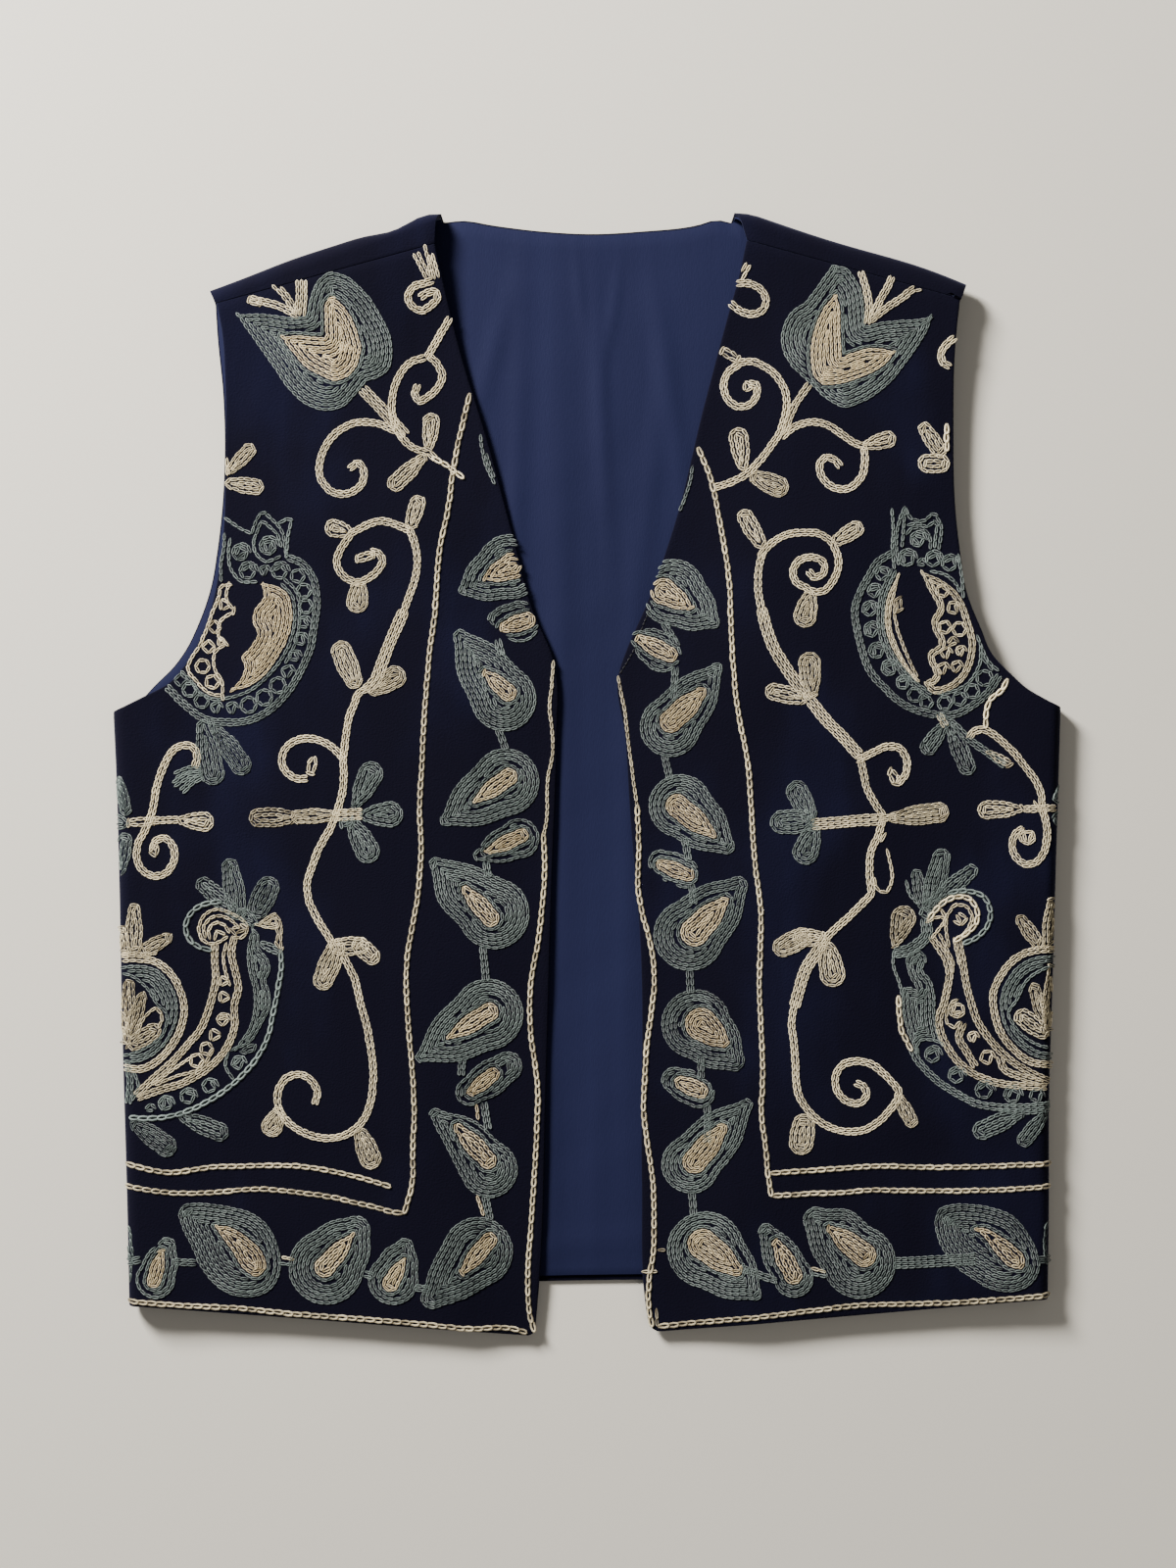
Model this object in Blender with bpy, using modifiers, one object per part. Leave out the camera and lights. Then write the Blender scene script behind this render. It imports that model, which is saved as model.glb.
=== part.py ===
"""A sleeveless velvet waistcoat lying on its back, open at the front, with its lining showing.

Metres, +Z up. The garment lies on the plane z = 0: +Y runs from the hem to the neck and +X to
the wearer's left. Each piece is an open surface, the outer face of its cloth, and Solidify
gives the cloth its thickness on the inner side. Tables hold millimetres in the plan, the view
from above, with x measured outwards from the middle of the garment.
"""
from typing import NamedTuple

import bpy
import numpy as np

MM = 0.001

# Cloth thicknesses and the gap between sewn pieces, in millimetres.
BACK_WALL = 1.6
LINING_WALL = 1.0
FRONT_WALL = 2.4
GAP = 0.3
LINING_LEVEL = BACK_WALL + GAP

# Heights of the upper face above the surface that the garment lies on, in millimetres.
BODY_HEIGHT = 10.6
OPENING_HEIGHT = 6.4
SIDE_HEIGHT = 13.0
SHOULDER_HEIGHT = 14.0
LIE_CLEARANCE = 0.4
LOWEST_FRONT = LINING_LEVEL + LINING_WALL + LIE_CLEARANCE + FRONT_WALL

# How far each change of height reaches in from its edge, in millimetres.
OPENING_REACH = 42.0
SIDE_REACH = 34.0
SHOULDER_REACH = 46.0
ARMHOLE_DROOP, ARMHOLE_REACH = 0.8, 20.0
HEM_DROOP, HEM_REACH = 0.6, 30.0

# Rolled edges: half the width of the side roll, the cloth carried under it, the shoulder roll.
SIDE_ROLL = 6.5
UNDER_WIDTH = 15.0
SHOULDER_ROLL = SHOULDER_HEIGHT / 2

# How much further in the lining stops than the back at each edge, in millimetres.
LINING_IN_NECK = 1.0
LINING_IN_ARMHOLE = 0.8
LINING_IN_HEM = 3.2

# How finely the surfaces are divided.
LOWER_ROWS, UPPER_ROWS = 12, 12
FRONT_COLUMNS = 12
SHOULDER_COLUMNS, NECK_COLUMNS = 7, 8
ROLL_STEPS = 12
SHOULDER_RUN = 2

# How rows and columns crowd: towards the underarm, towards the neck's turn, towards the edges,
# and how early the back's rows turn to follow its neck and its hem.
ARMHOLE_CROWDING, NECK_CROWDING, EDGE_CROWDING = 1.7, 1.3, 0.4
NECK_FOLLOW, HEM_FOLLOW = 1.3, 2.0

# How far the rim of the side's roll dips at the underarm, and how much of the shoulder's slide
# towards the armhole is done once the cloth is over its roll.
RIM_DIP = 2.6
ROLL_SLIDE = 0.5


class Fold(NamedTuple):
    """A soft ridge, or a trough where its rise is negative: its middle, size, turn and rise."""

    x: float
    y: float
    along: float
    across: float
    turn: float
    rise: float


class Front(NamedTuple):
    """The plan of one front and of the back beside it, in millimetres, x outwards."""

    sign: int
    side: list        # rows of y and x: the outermost line of the side, hem to underarm
    armhole: list     # rows of y and x: the front's edge, underarm to shoulder seam
    back_armhole: list  # rows of y and x: the back's edge, underarm to the shoulder's fold
    opening: list     # rows of y and x: the front edge and the neck edge, hem to shoulder seam
    break_y: float    # where the front edge turns into the neck edge
    under_rim_y: float  # where the armhole's edge reaches the seam below the roll
    hem_side_y: float
    hem_seam_y: float
    tip: tuple        # x and y of the shoulder's outline at the armhole
    peak: tuple       # x and y of the shoulder's outline at the neck
    folds: list


RIGHT_SIDE = Front(
    sign=-1,
    side=[(-288, 248.0), (-240, 249.0), (-130, 252.0), (-50, 253.6), (0, 255.0), (33, 256.5)],
    armhole=[(35.8, 250.0), (41, 239.6), (47, 227.9), (56.5, 218.6), (74.5, 208.3), (92, 202.5),
             (110, 199.0), (135, 196.3), (160, 195.6), (215, 195.6), (235, 196.6), (253.4, 199.8)],
    back_armhole=[(40.5, 241.2), (47, 235.3), (57.5, 224.7), (68, 217.3), (79, 212.0), (100, 204.6),
                  (121, 200.9), (150, 197.8), (205, 197.7), (238, 200.9), (254.4, 201.9)],
    opening=[(-305.5, 28.4), (-270, 25.4), (-172, 22.3), (-60, 19.1), (20, 16.4), (52, 16.4),
             (62, 18.4), (86, 28.6), (129, 40.3), (182, 54.6), (227, 68.4), (266, 77.9), (285.6, 82.4)],
    break_y=52.0,
    under_rim_y=40.5,
    hem_side_y=-288.5,
    hem_seam_y=-285.0,
    tip=(204.0, 261.0),
    peak=(80.0, 305.5),
    folds=[Fold(198, -262, 44, 17, 84, 1.3), Fold(118, -250, 52, 20, 96, -0.9),
           Fold(70, -272, 36, 15, 98, 1.0), Fold(206, -64, 40, 10, 24, 0.9),
           Fold(160, 20, 62, 17, 38, 1.0), Fold(112, 96, 58, 18, 66, -0.8)],
)
LEFT_SIDE = Front(
    sign=1,
    side=[(-284, 249.6), (-240, 250.2), (-172, 250.4), (-120, 252.0), (-50, 254.0), (0, 255.5), (34, 256.5)],
    armhole=[(38.4, 250.0), (45, 238.5), (53, 229.5), (63, 219.9), (78, 213.1), (99, 205.1),
             (115, 202.5), (143, 199.3), (186, 198.2), (236, 199.3), (255.8, 201.4)],
    back_armhole=[(42.0, 241.2), (48, 232.4), (56, 224.0), (66, 216.6), (81, 210.2), (102, 202.7),
                  (120, 200.2), (150, 197.6), (205, 197.2), (238, 200.0), (254.8, 202.4)],
    opening=[(-303.5, 34.0), (-285, 31.3), (-221, 29.7), (-90, 28.8), (-28, 23.8), (20, 20.7), (53, 17.0),
             (67, 21.7), (90, 31.8), (137, 48.2), (195, 62.5), (249, 76.8), (270, 82.6), (287.4, 86.2)],
    break_y=53.0,
    under_rim_y=42.0,
    hem_side_y=-285.0,
    hem_seam_y=-283.5,
    tip=(204.6, 262.0),
    peak=(80.6, 305.5),
    folds=[Fold(206, -258, 48, 16, 98, 1.2), Fold(132, -252, 40, 18, 86, -0.6),
           Fold(84, -266, 44, 16, 94, 1.1), Fold(214, -30, 46, 11, -32, 0.9),
           Fold(150, 26, 66, 18, -40, 1.0), Fold(118, 104, 56, 17, -68, -0.7)],
)
BACK_NECK = [(-78.0, 299.0), (-67.0, 300.0), (-51.4, 297.5), (-24.4, 294.2), (2.6, 292.8), (29.7, 294.2),
             (60.0, 297.6), (70.5, 300.4), (78.4, 299.0)]
BACK_HEM = [(-233.0, -285.0), (-160.0, -280.5), (-60.0, -276.0), (20.0, -274.0), (90.0, -275.5),
            (170.0, -279.5), (235.0, -283.5)]

# Colours of the cloth, as linear red, green and blue.
VELVET = (0.0075, 0.0095, 0.034)
LINING = (0.030, 0.042, 0.125)


def smooth(table, at):
    """Return a smooth curve through the rows of a table, read at the given places."""
    keys, values = np.array(table, dtype=float).T
    at = np.clip(at, keys[0], keys[-1])
    slopes = np.gradient(values, keys)
    row = np.clip(np.searchsorted(keys, at) - 1, 0, len(keys) - 2)
    step = keys[row + 1] - keys[row]
    part = (at - keys[row]) / step
    start = (1 + 2 * part) * (1 - part) ** 2 * values[row] + part * (1 - part) ** 2 * step * slopes[row]
    end = part ** 2 * (3 - 2 * part) * values[row + 1] + part ** 2 * (part - 1) * step * slopes[row + 1]
    return start + end


def blend(first, last, part):
    """Return the value a given part of the way from the first to the last."""
    return first + (last - first) * part


def bump(distance, reach):
    """Return a bell curve: 1 at no distance, level there, and close to 0 past twice the reach."""
    return np.exp(-(distance / reach) ** 2)


def shoulder_line(front):
    """Return the start of the shoulder's roll at the tip, and its along and outward directions."""
    tip, peak = np.array(front.tip), np.array(front.peak)
    along = (peak - tip) / np.linalg.norm(peak - tip)
    outward = np.array([along[1], -along[0]])
    return tip - outward * SHOULDER_ROLL, along, outward


def front_height(front, x, y):
    """Return the height of the upper face over points of the plan.

    The body's level height falls to the opening, the armhole and the hem, and rises to the rolls
    at the side and the shoulder, each as a bell curve of the distance, and the folds are added.
    """
    underarm_y, underarm_x = front.armhole[0]
    from_opening = np.maximum(x - smooth(front.opening, y), 0)
    roll_x = smooth(front.side, y) - SIDE_ROLL
    from_side = np.hypot(np.where(y < underarm_y, roll_x, underarm_x) - x, np.maximum(y - underarm_y, 0))
    start, along, outward = shoulder_line(front)
    from_shoulder = np.maximum(-((x - start[0]) * outward[0] + (y - start[1]) * outward[1]), 0)
    from_armhole = np.where(y < underarm_y, 1e3, smooth(front.armhole, y) - x)
    from_hem = y - hem_y(front, x)
    near_side, near_shoulder = bump(from_side, SIDE_REACH), bump(from_shoulder, SHOULDER_REACH)
    height = OPENING_HEIGHT + (BODY_HEIGHT - OPENING_HEIGHT) * (1 - bump(from_opening, OPENING_REACH))
    height = height - ARMHOLE_DROOP * bump(from_armhole, ARMHOLE_REACH)
    height = height - HEM_DROOP * bump(from_hem, HEM_REACH)
    for fold in front.folds:
        turn = np.radians(fold.turn)
        along_fold = (x - fold.x) * np.cos(turn) + (y - fold.y) * np.sin(turn)
        across_fold = (y - fold.y) * np.cos(turn) - (x - fold.x) * np.sin(turn)
        height = height + fold.rise * bump(along_fold, fold.along) * bump(across_fold, fold.across)
    height = np.maximum(height, LOWEST_FRONT)
    height = blend(height, SIDE_HEIGHT, near_side)
    return blend(height, SHOULDER_HEIGHT, near_shoulder)


def hem_y(front, x):
    """Return the front's hem, a straight line from the side to the corner of the opening."""
    corner_y, corner_x = front.opening[0]
    side_x = front.side[0][1] - SIDE_ROLL
    return blend(corner_y, front.hem_side_y, (x - corner_x) / (side_x - corner_x))


def seam_ends(front):
    """Return the ends of the shoulder seam, at the armhole and at the neck."""
    return np.array(front.armhole[-1][::-1]), np.array(front.opening[-1][::-1])


def front_grid(front):
    """Return the front's upper face as a grid: rows from the hem to the shoulder seam.

    Each row is a straight line in the plan from the side or the armhole to the opening. Rows
    crowd towards the underarm, where the armhole turns, and columns towards both edges.
    """
    underarm_y = front.armhole[0][0]
    lower = np.linspace(0, 1, LOWER_ROWS + 1)
    upper = np.linspace(0, 1, UPPER_ROWS + 1)[1:]
    low_y = blend(front.hem_side_y, underarm_y, lower)
    high_y = blend(underarm_y, front.armhole[-1][0], upper ** ARMHOLE_CROWDING)
    side_x = np.concatenate([smooth(front.side, low_y) - SIDE_ROLL, smooth(front.armhole, high_y)])
    side_x[LOWER_ROWS] = front.armhole[0][1]
    side_y = np.concatenate([low_y, high_y])
    open_y = np.concatenate([blend(front.opening[0][0], front.break_y, lower),
                             blend(front.break_y, front.opening[-1][0], upper ** NECK_CROWDING)])
    open_x = smooth(front.opening, open_y)
    even = np.linspace(0, 1, FRONT_COLUMNS + 1)
    part = blend(even, (1 - np.cos(np.pi * even)) / 2, EDGE_CROWDING)
    x = blend(side_x[:, None], open_x[:, None], part)
    y = blend(side_y[:, None], open_y[:, None], part)
    return np.stack([x, y, front_height(front, x, y)], axis=-1)


def wrap_grid(front, face):
    """Return the side's roll and the cloth under it, as further columns of the face's lower rows.

    A half ellipse as high as the face beside it turns the cloth under, and a level run carries
    it in to the side seam. Its rim and hem run straight to the ends of the seam.
    """
    rows = LOWER_ROWS + 1
    start = face[:rows, 0]
    level = np.linspace(0, 1, rows)
    angle = np.linspace(0, np.pi, ROLL_STEPS + 1)[1:]
    run = np.array([0.5, 1.0]) * (UNDER_WIDTH - SIDE_ROLL)
    out = np.concatenate([SIDE_ROLL * np.sin(angle), -run])
    turn = np.concatenate([(1 + np.cos(angle)) / 2, np.zeros(len(run))])
    inward = np.concatenate([np.zeros(len(angle)), run / run[-1]])
    dip = np.concatenate([np.sin(angle), np.zeros(len(run))]) * RIM_DIP
    rim_y = blend(front.armhole[0][0], front.under_rim_y, inward) - dip
    low_y = blend(front.hem_side_y, front.hem_seam_y, inward)
    y = blend(low_y, rim_y, level[:, None])
    x = start[:, :1] + out
    z = start[:, 2:] * turn
    return np.stack([x, y, z], axis=-1)


def back_outline(front, part, armhole_in, hem_in):
    """Return one side's edge of the back: its lower rows follow the seam, its upper the armhole.

    part holds the rows' places, from 0 at the hem to 1 at the underarm and 2 at the shoulder.
    """
    lower, upper = part[part <= 1], part[part > 1] - 1
    seam_top_y = front.back_armhole[0][0]
    fold_y = shoulder_line(front)[0][1]
    low_y = blend(front.hem_seam_y + hem_in, seam_top_y, lower)
    high_y = blend(seam_top_y, fold_y, upper ** ARMHOLE_CROWDING)
    low_x = smooth(front.side, low_y) - UNDER_WIDTH - GAP
    high_x = smooth(front.back_armhole, high_y) - armhole_in
    return np.concatenate([low_x, high_x]), np.concatenate([low_y, high_y])


def back_grid(inset, neck_in, armhole_in, hem_in):
    """Return the flat part of the back, or of its lining, as a grid from side to side.

    Rows run from hem to neck. Columns are spread so that one meets each shoulder's neck point on
    the last row, which follows the folds of the shoulders and the back of the neck.
    """
    part = np.concatenate([np.linspace(0, 1, LOWER_ROWS + 1), np.linspace(1, 2, UPPER_ROWS + 1)[1:]])
    right_x, right_y = back_outline(RIGHT_SIDE, part, armhole_in, hem_in)
    left_x, left_y = back_outline(LEFT_SIDE, part, armhole_in, hem_in)
    necks = [fold_neck(front, neck_in)[0] * front.sign for front in (RIGHT_SIDE, LEFT_SIDE)]
    width = left_x[-1] + right_x[-1]
    marks = (np.array(necks) + right_x[-1]) / width
    column = np.concatenate([np.linspace(0, marks[0], SHOULDER_COLUMNS + 1),
                             np.linspace(marks[0], marks[1], NECK_COLUMNS + 1)[1:],
                             np.linspace(marks[1], 1, SHOULDER_COLUMNS + 1)[1:]])
    x = blend(-right_x[:, None], left_x[:, None], column)
    y = blend(right_y[:, None], left_y[:, None], column)
    top_y = smooth(BACK_NECK, x[-1]) - neck_in
    for front, picked in ((RIGHT_SIDE, column <= marks[0] + 1e-9), (LEFT_SIDE, column >= marks[1] - 1e-9)):
        start, along, outward = shoulder_line(front)
        top_y[picked] = start[1] + (x[-1][picked] * front.sign - start[0]) * along[1] / along[0]
    hem = smooth(BACK_HEM, x[0]) + hem_in
    above = np.clip(part - 1, 0, 1)[:, None] ** NECK_FOLLOW
    below = np.clip(1 - part, 0, 1)[:, None] ** HEM_FOLLOW
    y = y + above * (top_y - y[-1]) + below * (hem - y[0])
    return np.stack([x, y, np.full_like(x, inset)], axis=-1)


def fold_neck(front, neck_in):
    """Return where the neck edge meets the start of the shoulder's roll."""
    start, along, outward = shoulder_line(front)
    length = np.linalg.norm(np.array(front.peak) - np.array(front.tip)) - neck_in
    return start + along * length


def shoulder_grid(front, edge, inset, neck_in):
    """Return the shoulder carried over its roll to the forward seam, as rows after the edge.

    edge is the row of points at the start of the roll, armhole to neck, in the plan of one side.
    A half circle brings the cloth over, and it slides along the shoulder as it comes, so that
    the last row lies on the seam.
    """
    start, along, outward = shoulder_line(front)
    seam_tip, seam_neck = seam_ends(front)
    seam_neck = blend(seam_neck, seam_tip, neck_in / np.linalg.norm(seam_neck - seam_tip))
    part = np.linspace(0, 1, len(edge))[:, None]
    seam = blend(seam_tip, seam_neck, part) + outward * GAP
    slide = (seam - edge[:, :2]) @ along
    forward = -(seam - edge[:, :2]) @ outward
    radius = SHOULDER_ROLL - inset
    rows = []
    for angle in np.linspace(0, np.pi, ROLL_STEPS + 1)[1:]:
        slid = ROLL_SLIDE * max(0.0, angle / (np.pi / 2) - 1)
        plan = edge[:, :2] + outward * radius * np.sin(angle) + along * (slide * slid)[:, None]
        rows.append(np.column_stack([plan, np.full(len(edge), inset + radius * (1 - np.cos(angle)))]))
    for run in np.linspace(0, 1, SHOULDER_RUN + 1)[1:]:
        slid = blend(ROLL_SLIDE, 1, run)
        plan = edge[:, :2] - outward * (forward * run)[:, None] + along * (slide * slid)[:, None]
        height = front_height(front, plan[:, 0], plan[:, 1]) - inset
        rows.append(np.column_stack([plan, height]))
    return np.array(rows)


def add_grid(points, faces, grid, flipped):
    """Add a grid's points and its quads, turned over where flipped, to the lists of a mesh."""
    rows, columns = grid.shape[:2]
    first = len(points)
    points.extend(grid.reshape(-1, 3))
    for row in range(rows - 1):
        for column in range(columns - 1):
            corner = first + row * columns + column
            face = (corner, corner + 1, corner + columns + 1, corner + columns)
            faces.append(face[::-1] if flipped else face)


def make_wall(name, grids, thickness, material, collection):
    """Make a cloth wall: the grids, joined where they meet, as the outer face, and Solidify."""
    points, faces = [], []
    for grid, flipped in grids:
        add_grid(points, faces, grid, flipped)
    mesh = bpy.data.meshes.new(name)
    mesh.from_pydata(np.array(points) * MM, [], faces)
    mesh.materials.append(material)
    piece = bpy.data.objects.new(name, mesh)
    collection.objects.link(piece)
    weld = piece.modifiers.new("Join", "WELD")
    weld.merge_threshold = 0.05 * MM
    wall = piece.modifiers.new("Wall", "SOLIDIFY")
    wall.thickness = thickness * MM
    wall.offset = -1
    wall.use_even_offset = True
    mesh.shade_smooth()
    return piece


def cloth(name, colour, roughness):
    """Make the material of a cloth: its colour and how matt it is."""
    material = bpy.data.materials.new(name)
    material.use_nodes = True
    shader = material.node_tree.nodes["Principled BSDF"]
    shader.inputs["Base Color"].default_value = (*colour, 1)
    shader.inputs["Roughness"].default_value = roughness
    shader.inputs["Metallic"].default_value = 0
    return material


def mirrored(grid, sign):
    """Return a grid of one side's plan in the part's own frame, where the right side has -X."""
    return grid * np.array([sign, 1, 1])


def make_front(name, front, material, collection):
    """Make one front with the roll and the strip that its side carries under the body."""
    face = front_grid(front)
    wrap = wrap_grid(front, face)
    wrap = np.concatenate([face[:len(wrap), :1], wrap], axis=1)
    over = front.sign > 0
    grids = [(mirrored(face, front.sign), over), (mirrored(wrap, front.sign), not over)]
    return make_wall(name, grids, FRONT_WALL, material, collection)


def make_back(name, inset, neck_in, armhole_in, hem_in, thickness, material, collection):
    """Make the back, or its lining, with both shoulders carried over to the forward seams."""
    flat = back_grid(inset, neck_in, armhole_in, hem_in)
    grids = [(flat, True)]
    for front, row in ((RIGHT_SIDE, flat[-1, :SHOULDER_COLUMNS + 1]),
                       (LEFT_SIDE, flat[-1, ::-1][:SHOULDER_COLUMNS + 1])):
        edge = mirrored(row, front.sign)
        over = shoulder_grid(front, edge, inset, neck_in)
        over = np.concatenate([edge[None], over])
        grids.append((mirrored(over, front.sign), front.sign < 0))
    return make_wall(name, grids, thickness, material, collection)


def main():
    """Build the waistcoat."""
    for item in list(bpy.data.objects):
        bpy.data.objects.remove(item, do_unlink=True)
    collection = bpy.data.collections.new("Waistcoat")
    bpy.context.scene.collection.children.link(collection)
    velvet = cloth("Velvet", VELVET, 0.9)
    lining = cloth("Lining", LINING, 0.5)
    make_back("back", 0.0, 0.0, 0.0, 0.0, BACK_WALL, velvet, collection)
    make_back("back_lining", LINING_LEVEL, LINING_IN_NECK, LINING_IN_ARMHOLE, LINING_IN_HEM,
              LINING_WALL, lining, collection)
    make_front("right_front", RIGHT_SIDE, velvet, collection)
    make_front("left_front", LEFT_SIDE, velvet, collection)


main()
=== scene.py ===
"""The looks of a velvet waistcoat that lies on its back: cloth, lining and chain-stitch embroidery.

The plan is the view from above in millimetres, X to the wearer's left and Y from hem to neck,
with the origin under the middle of the garment. Where a side's plan is meant, x is measured
outwards from the middle. The embroidery's tables hold places read in the photograph, in its own
pixels from the top left corner, and the class Photograph turns them into the plan.
"""

import logging
from dataclasses import dataclass, replace
from enum import Enum
from typing import Callable

import bpy
import numpy as np
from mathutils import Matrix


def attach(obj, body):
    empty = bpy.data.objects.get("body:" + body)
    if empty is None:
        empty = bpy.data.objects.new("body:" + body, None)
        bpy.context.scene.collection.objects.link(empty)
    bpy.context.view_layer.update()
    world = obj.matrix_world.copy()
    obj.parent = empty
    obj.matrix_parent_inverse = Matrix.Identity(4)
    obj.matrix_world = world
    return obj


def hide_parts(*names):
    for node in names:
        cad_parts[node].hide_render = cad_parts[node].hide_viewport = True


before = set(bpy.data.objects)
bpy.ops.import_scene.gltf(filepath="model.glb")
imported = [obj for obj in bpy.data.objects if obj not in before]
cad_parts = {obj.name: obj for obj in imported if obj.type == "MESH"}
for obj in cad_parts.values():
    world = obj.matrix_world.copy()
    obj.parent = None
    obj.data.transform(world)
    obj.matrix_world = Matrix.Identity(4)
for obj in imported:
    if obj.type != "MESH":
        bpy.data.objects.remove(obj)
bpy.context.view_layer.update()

Array = np.ndarray
MM = 0.001
TINY, TINIEST = 1e-9, 1e-12
log = logging.getLogger("waistcoat")

# The cloth in millimetres: walls no thicker than the frame's solids, and the same levels and rolls.
BACK_WALL = 1.6
LINING_WALL = 0.9
FRONT_WALL = 2.0
GAP = 0.3
LINING_LEVEL = BACK_WALL + GAP
BODY_HEIGHT = 10.6
OPENING_HEIGHT = 6.4
SIDE_HEIGHT = 13.0
SHOULDER_HEIGHT = 14.0
LOWEST_FRONT = 5.7
OPENING_REACH = 42.0
SIDE_REACH = 34.0
SHOULDER_REACH = 46.0
ARMHOLE_DROOP, ARMHOLE_REACH = 0.8, 20.0
HEM_DROOP, HEM_REACH = 0.6, 30.0
SIDE_ROLL = 6.5
UNDER_WIDTH = 15.0
SHOULDER_ROLL = SHOULDER_HEIGHT / 2
RIM_DIP = 2.6
ROLL_END = 0.999
FAR = 1000.0
SLOPE_STEP = 0.4
ROLL_SLIDE = 0.5
ARMHOLE_CROWDING, NECK_CROWDING = 1.7, 1.3
NECK_FOLLOW, HEM_FOLLOW = 1.3, 2.0


def blend(first: Array, last: Array, part: Array) -> Array:
    """Return the value a given part of the way from the first to the last."""
    return first + (last - first) * part


def bump(distance: Array, reach: float) -> Array:
    """Return a bell curve: 1 at no distance, level there, and close to 0 past twice the reach."""
    return np.exp(-(distance / reach) ** 2)


def lengths(path: Array) -> Array:
    """Return how far along a path each of its points lies, as the running sum of its steps."""
    steps = np.linalg.norm(np.diff(path, axis=0), axis=1)
    return np.concatenate([[0.0], np.cumsum(steps)])


def read_along(path: Array, at: Array) -> Array:
    """Return the points at distances along a path."""
    return np.column_stack([np.interp(at, lengths(path), path[:, axis]) for axis in range(2)])


def resampled(path: Array) -> Array:
    """Return a path with even steps of about PATH_STEP, read at equal shares of its own length."""
    whole = lengths(path)[-1]
    return read_along(path, np.linspace(0, whole, max(2, int(round(whole / PATH_STEP)) + 1)))


def unit(vectors: Array) -> Array:
    """Return rows of vectors, each over its own length."""
    return vectors / (np.linalg.norm(vectors, axis=1, keepdims=True) + TINY)


def to_left(vectors: Array) -> Array:
    """Return rows of the plan's vectors turned by a right angle to the left."""
    return np.column_stack([-vectors[:, 1], vectors[:, 0]])


def even(steps: int) -> Array:
    """Return even steps from 0 to 1."""
    return np.linspace(0, 1, steps + 1)


@dataclass(frozen=True)
class Curve:
    """A smooth curve through rows of a key and a value, in rising order of the key."""

    rows: tuple

    def __call__(self, at: Array) -> Array:
        """Read the curve: cubic pieces whose slopes are those of their neighbours.

        Args:
            at: the keys to read it at; those past its ends read the end.

        Returns:
            The values there.
        """
        keys, values = np.array(self.rows, dtype=float).T
        at = np.clip(at, keys[0], keys[-1])
        slopes = np.gradient(values, keys)
        row = np.clip(np.searchsorted(keys, at) - 1, 0, len(keys) - 2)
        step = keys[row + 1] - keys[row]
        part = (at - keys[row]) / step
        rest = 1 - part
        first = (1 + 2 * part) * rest ** 2 * values[row] + part * rest ** 2 * step * slopes[row]
        last = part ** 2 * (3 - 2 * part) * values[row + 1] - part ** 2 * rest * step * slopes[row + 1]
        return first + last

    @property
    def first(self) -> tuple:
        """Return the first row."""
        return self.rows[0]

    @property
    def last(self) -> tuple:
        """Return the last row."""
        return self.rows[-1]


@dataclass(frozen=True)
class Photograph:
    """The photograph as a plan: one pixel's real size, and the pixel over the origin."""

    pixel: float = 0.53
    middle: tuple = (599.0, 788.5)

    def plan(self, places: Array) -> Array:
        """Turn places, x and y in turn, into rows of the plan, in millimetres, with Y up."""
        places = np.array(places, dtype=float).reshape(-1, 2)
        return (places - self.middle) * (self.pixel, -self.pixel)


PHOTO = Photograph()


@dataclass(frozen=True)
class Fold:
    """A soft ridge, or a trough where its rise is negative: its middle, size, turn and rise."""

    x: float
    y: float
    along: float
    across: float
    turn: float
    rise: float

    def at(self, x: Array, y: Array) -> Array:
        """Find the fold's height, the product of a bell along it and a bell across it.

        Args:
            x: places outwards or to the left, in millimetres.
            y: places towards the neck.

        Returns:
            The heights there, in millimetres.
        """
        turn = np.radians(self.turn)
        along = (x - self.x) * np.cos(turn) + (y - self.y) * np.sin(turn)
        across = (y - self.y) * np.cos(turn) - (x - self.x) * np.sin(turn)
        return self.rise * bump(along, self.along) * bump(across, self.across)


@dataclass(frozen=True)
class Ripple:
    """The cloth's slight unevenness: waves of unlike length and direction added together."""

    rise: float
    length: float
    seed: int
    waves: int = 9
    shortest: float = 0.6
    longest: float = 1.9

    def at(self, x: Array, y: Array) -> Array:
        """Find the unevenness, a sum of sines over the root of their number.

        The waves' directions, starts and shares of the length are drawn at random.

        Args:
            x: places outwards or to the left, in millimetres.
            y: places towards the neck.

        Returns:
            The heights there, in millimetres.
        """
        draw = np.random.default_rng(self.seed)
        total = np.zeros(np.broadcast(x, y).shape)
        for turn, start, share in draw.uniform((0, 0, self.shortest), (np.pi, 2 * np.pi, self.longest),
                                                (self.waves, 3)):
            phase = (x * np.cos(turn) + y * np.sin(turn)) * 2 * np.pi / (self.length * share)
            total = total + np.sin(phase + start)
        return total * self.rise / np.sqrt(self.waves)


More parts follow.
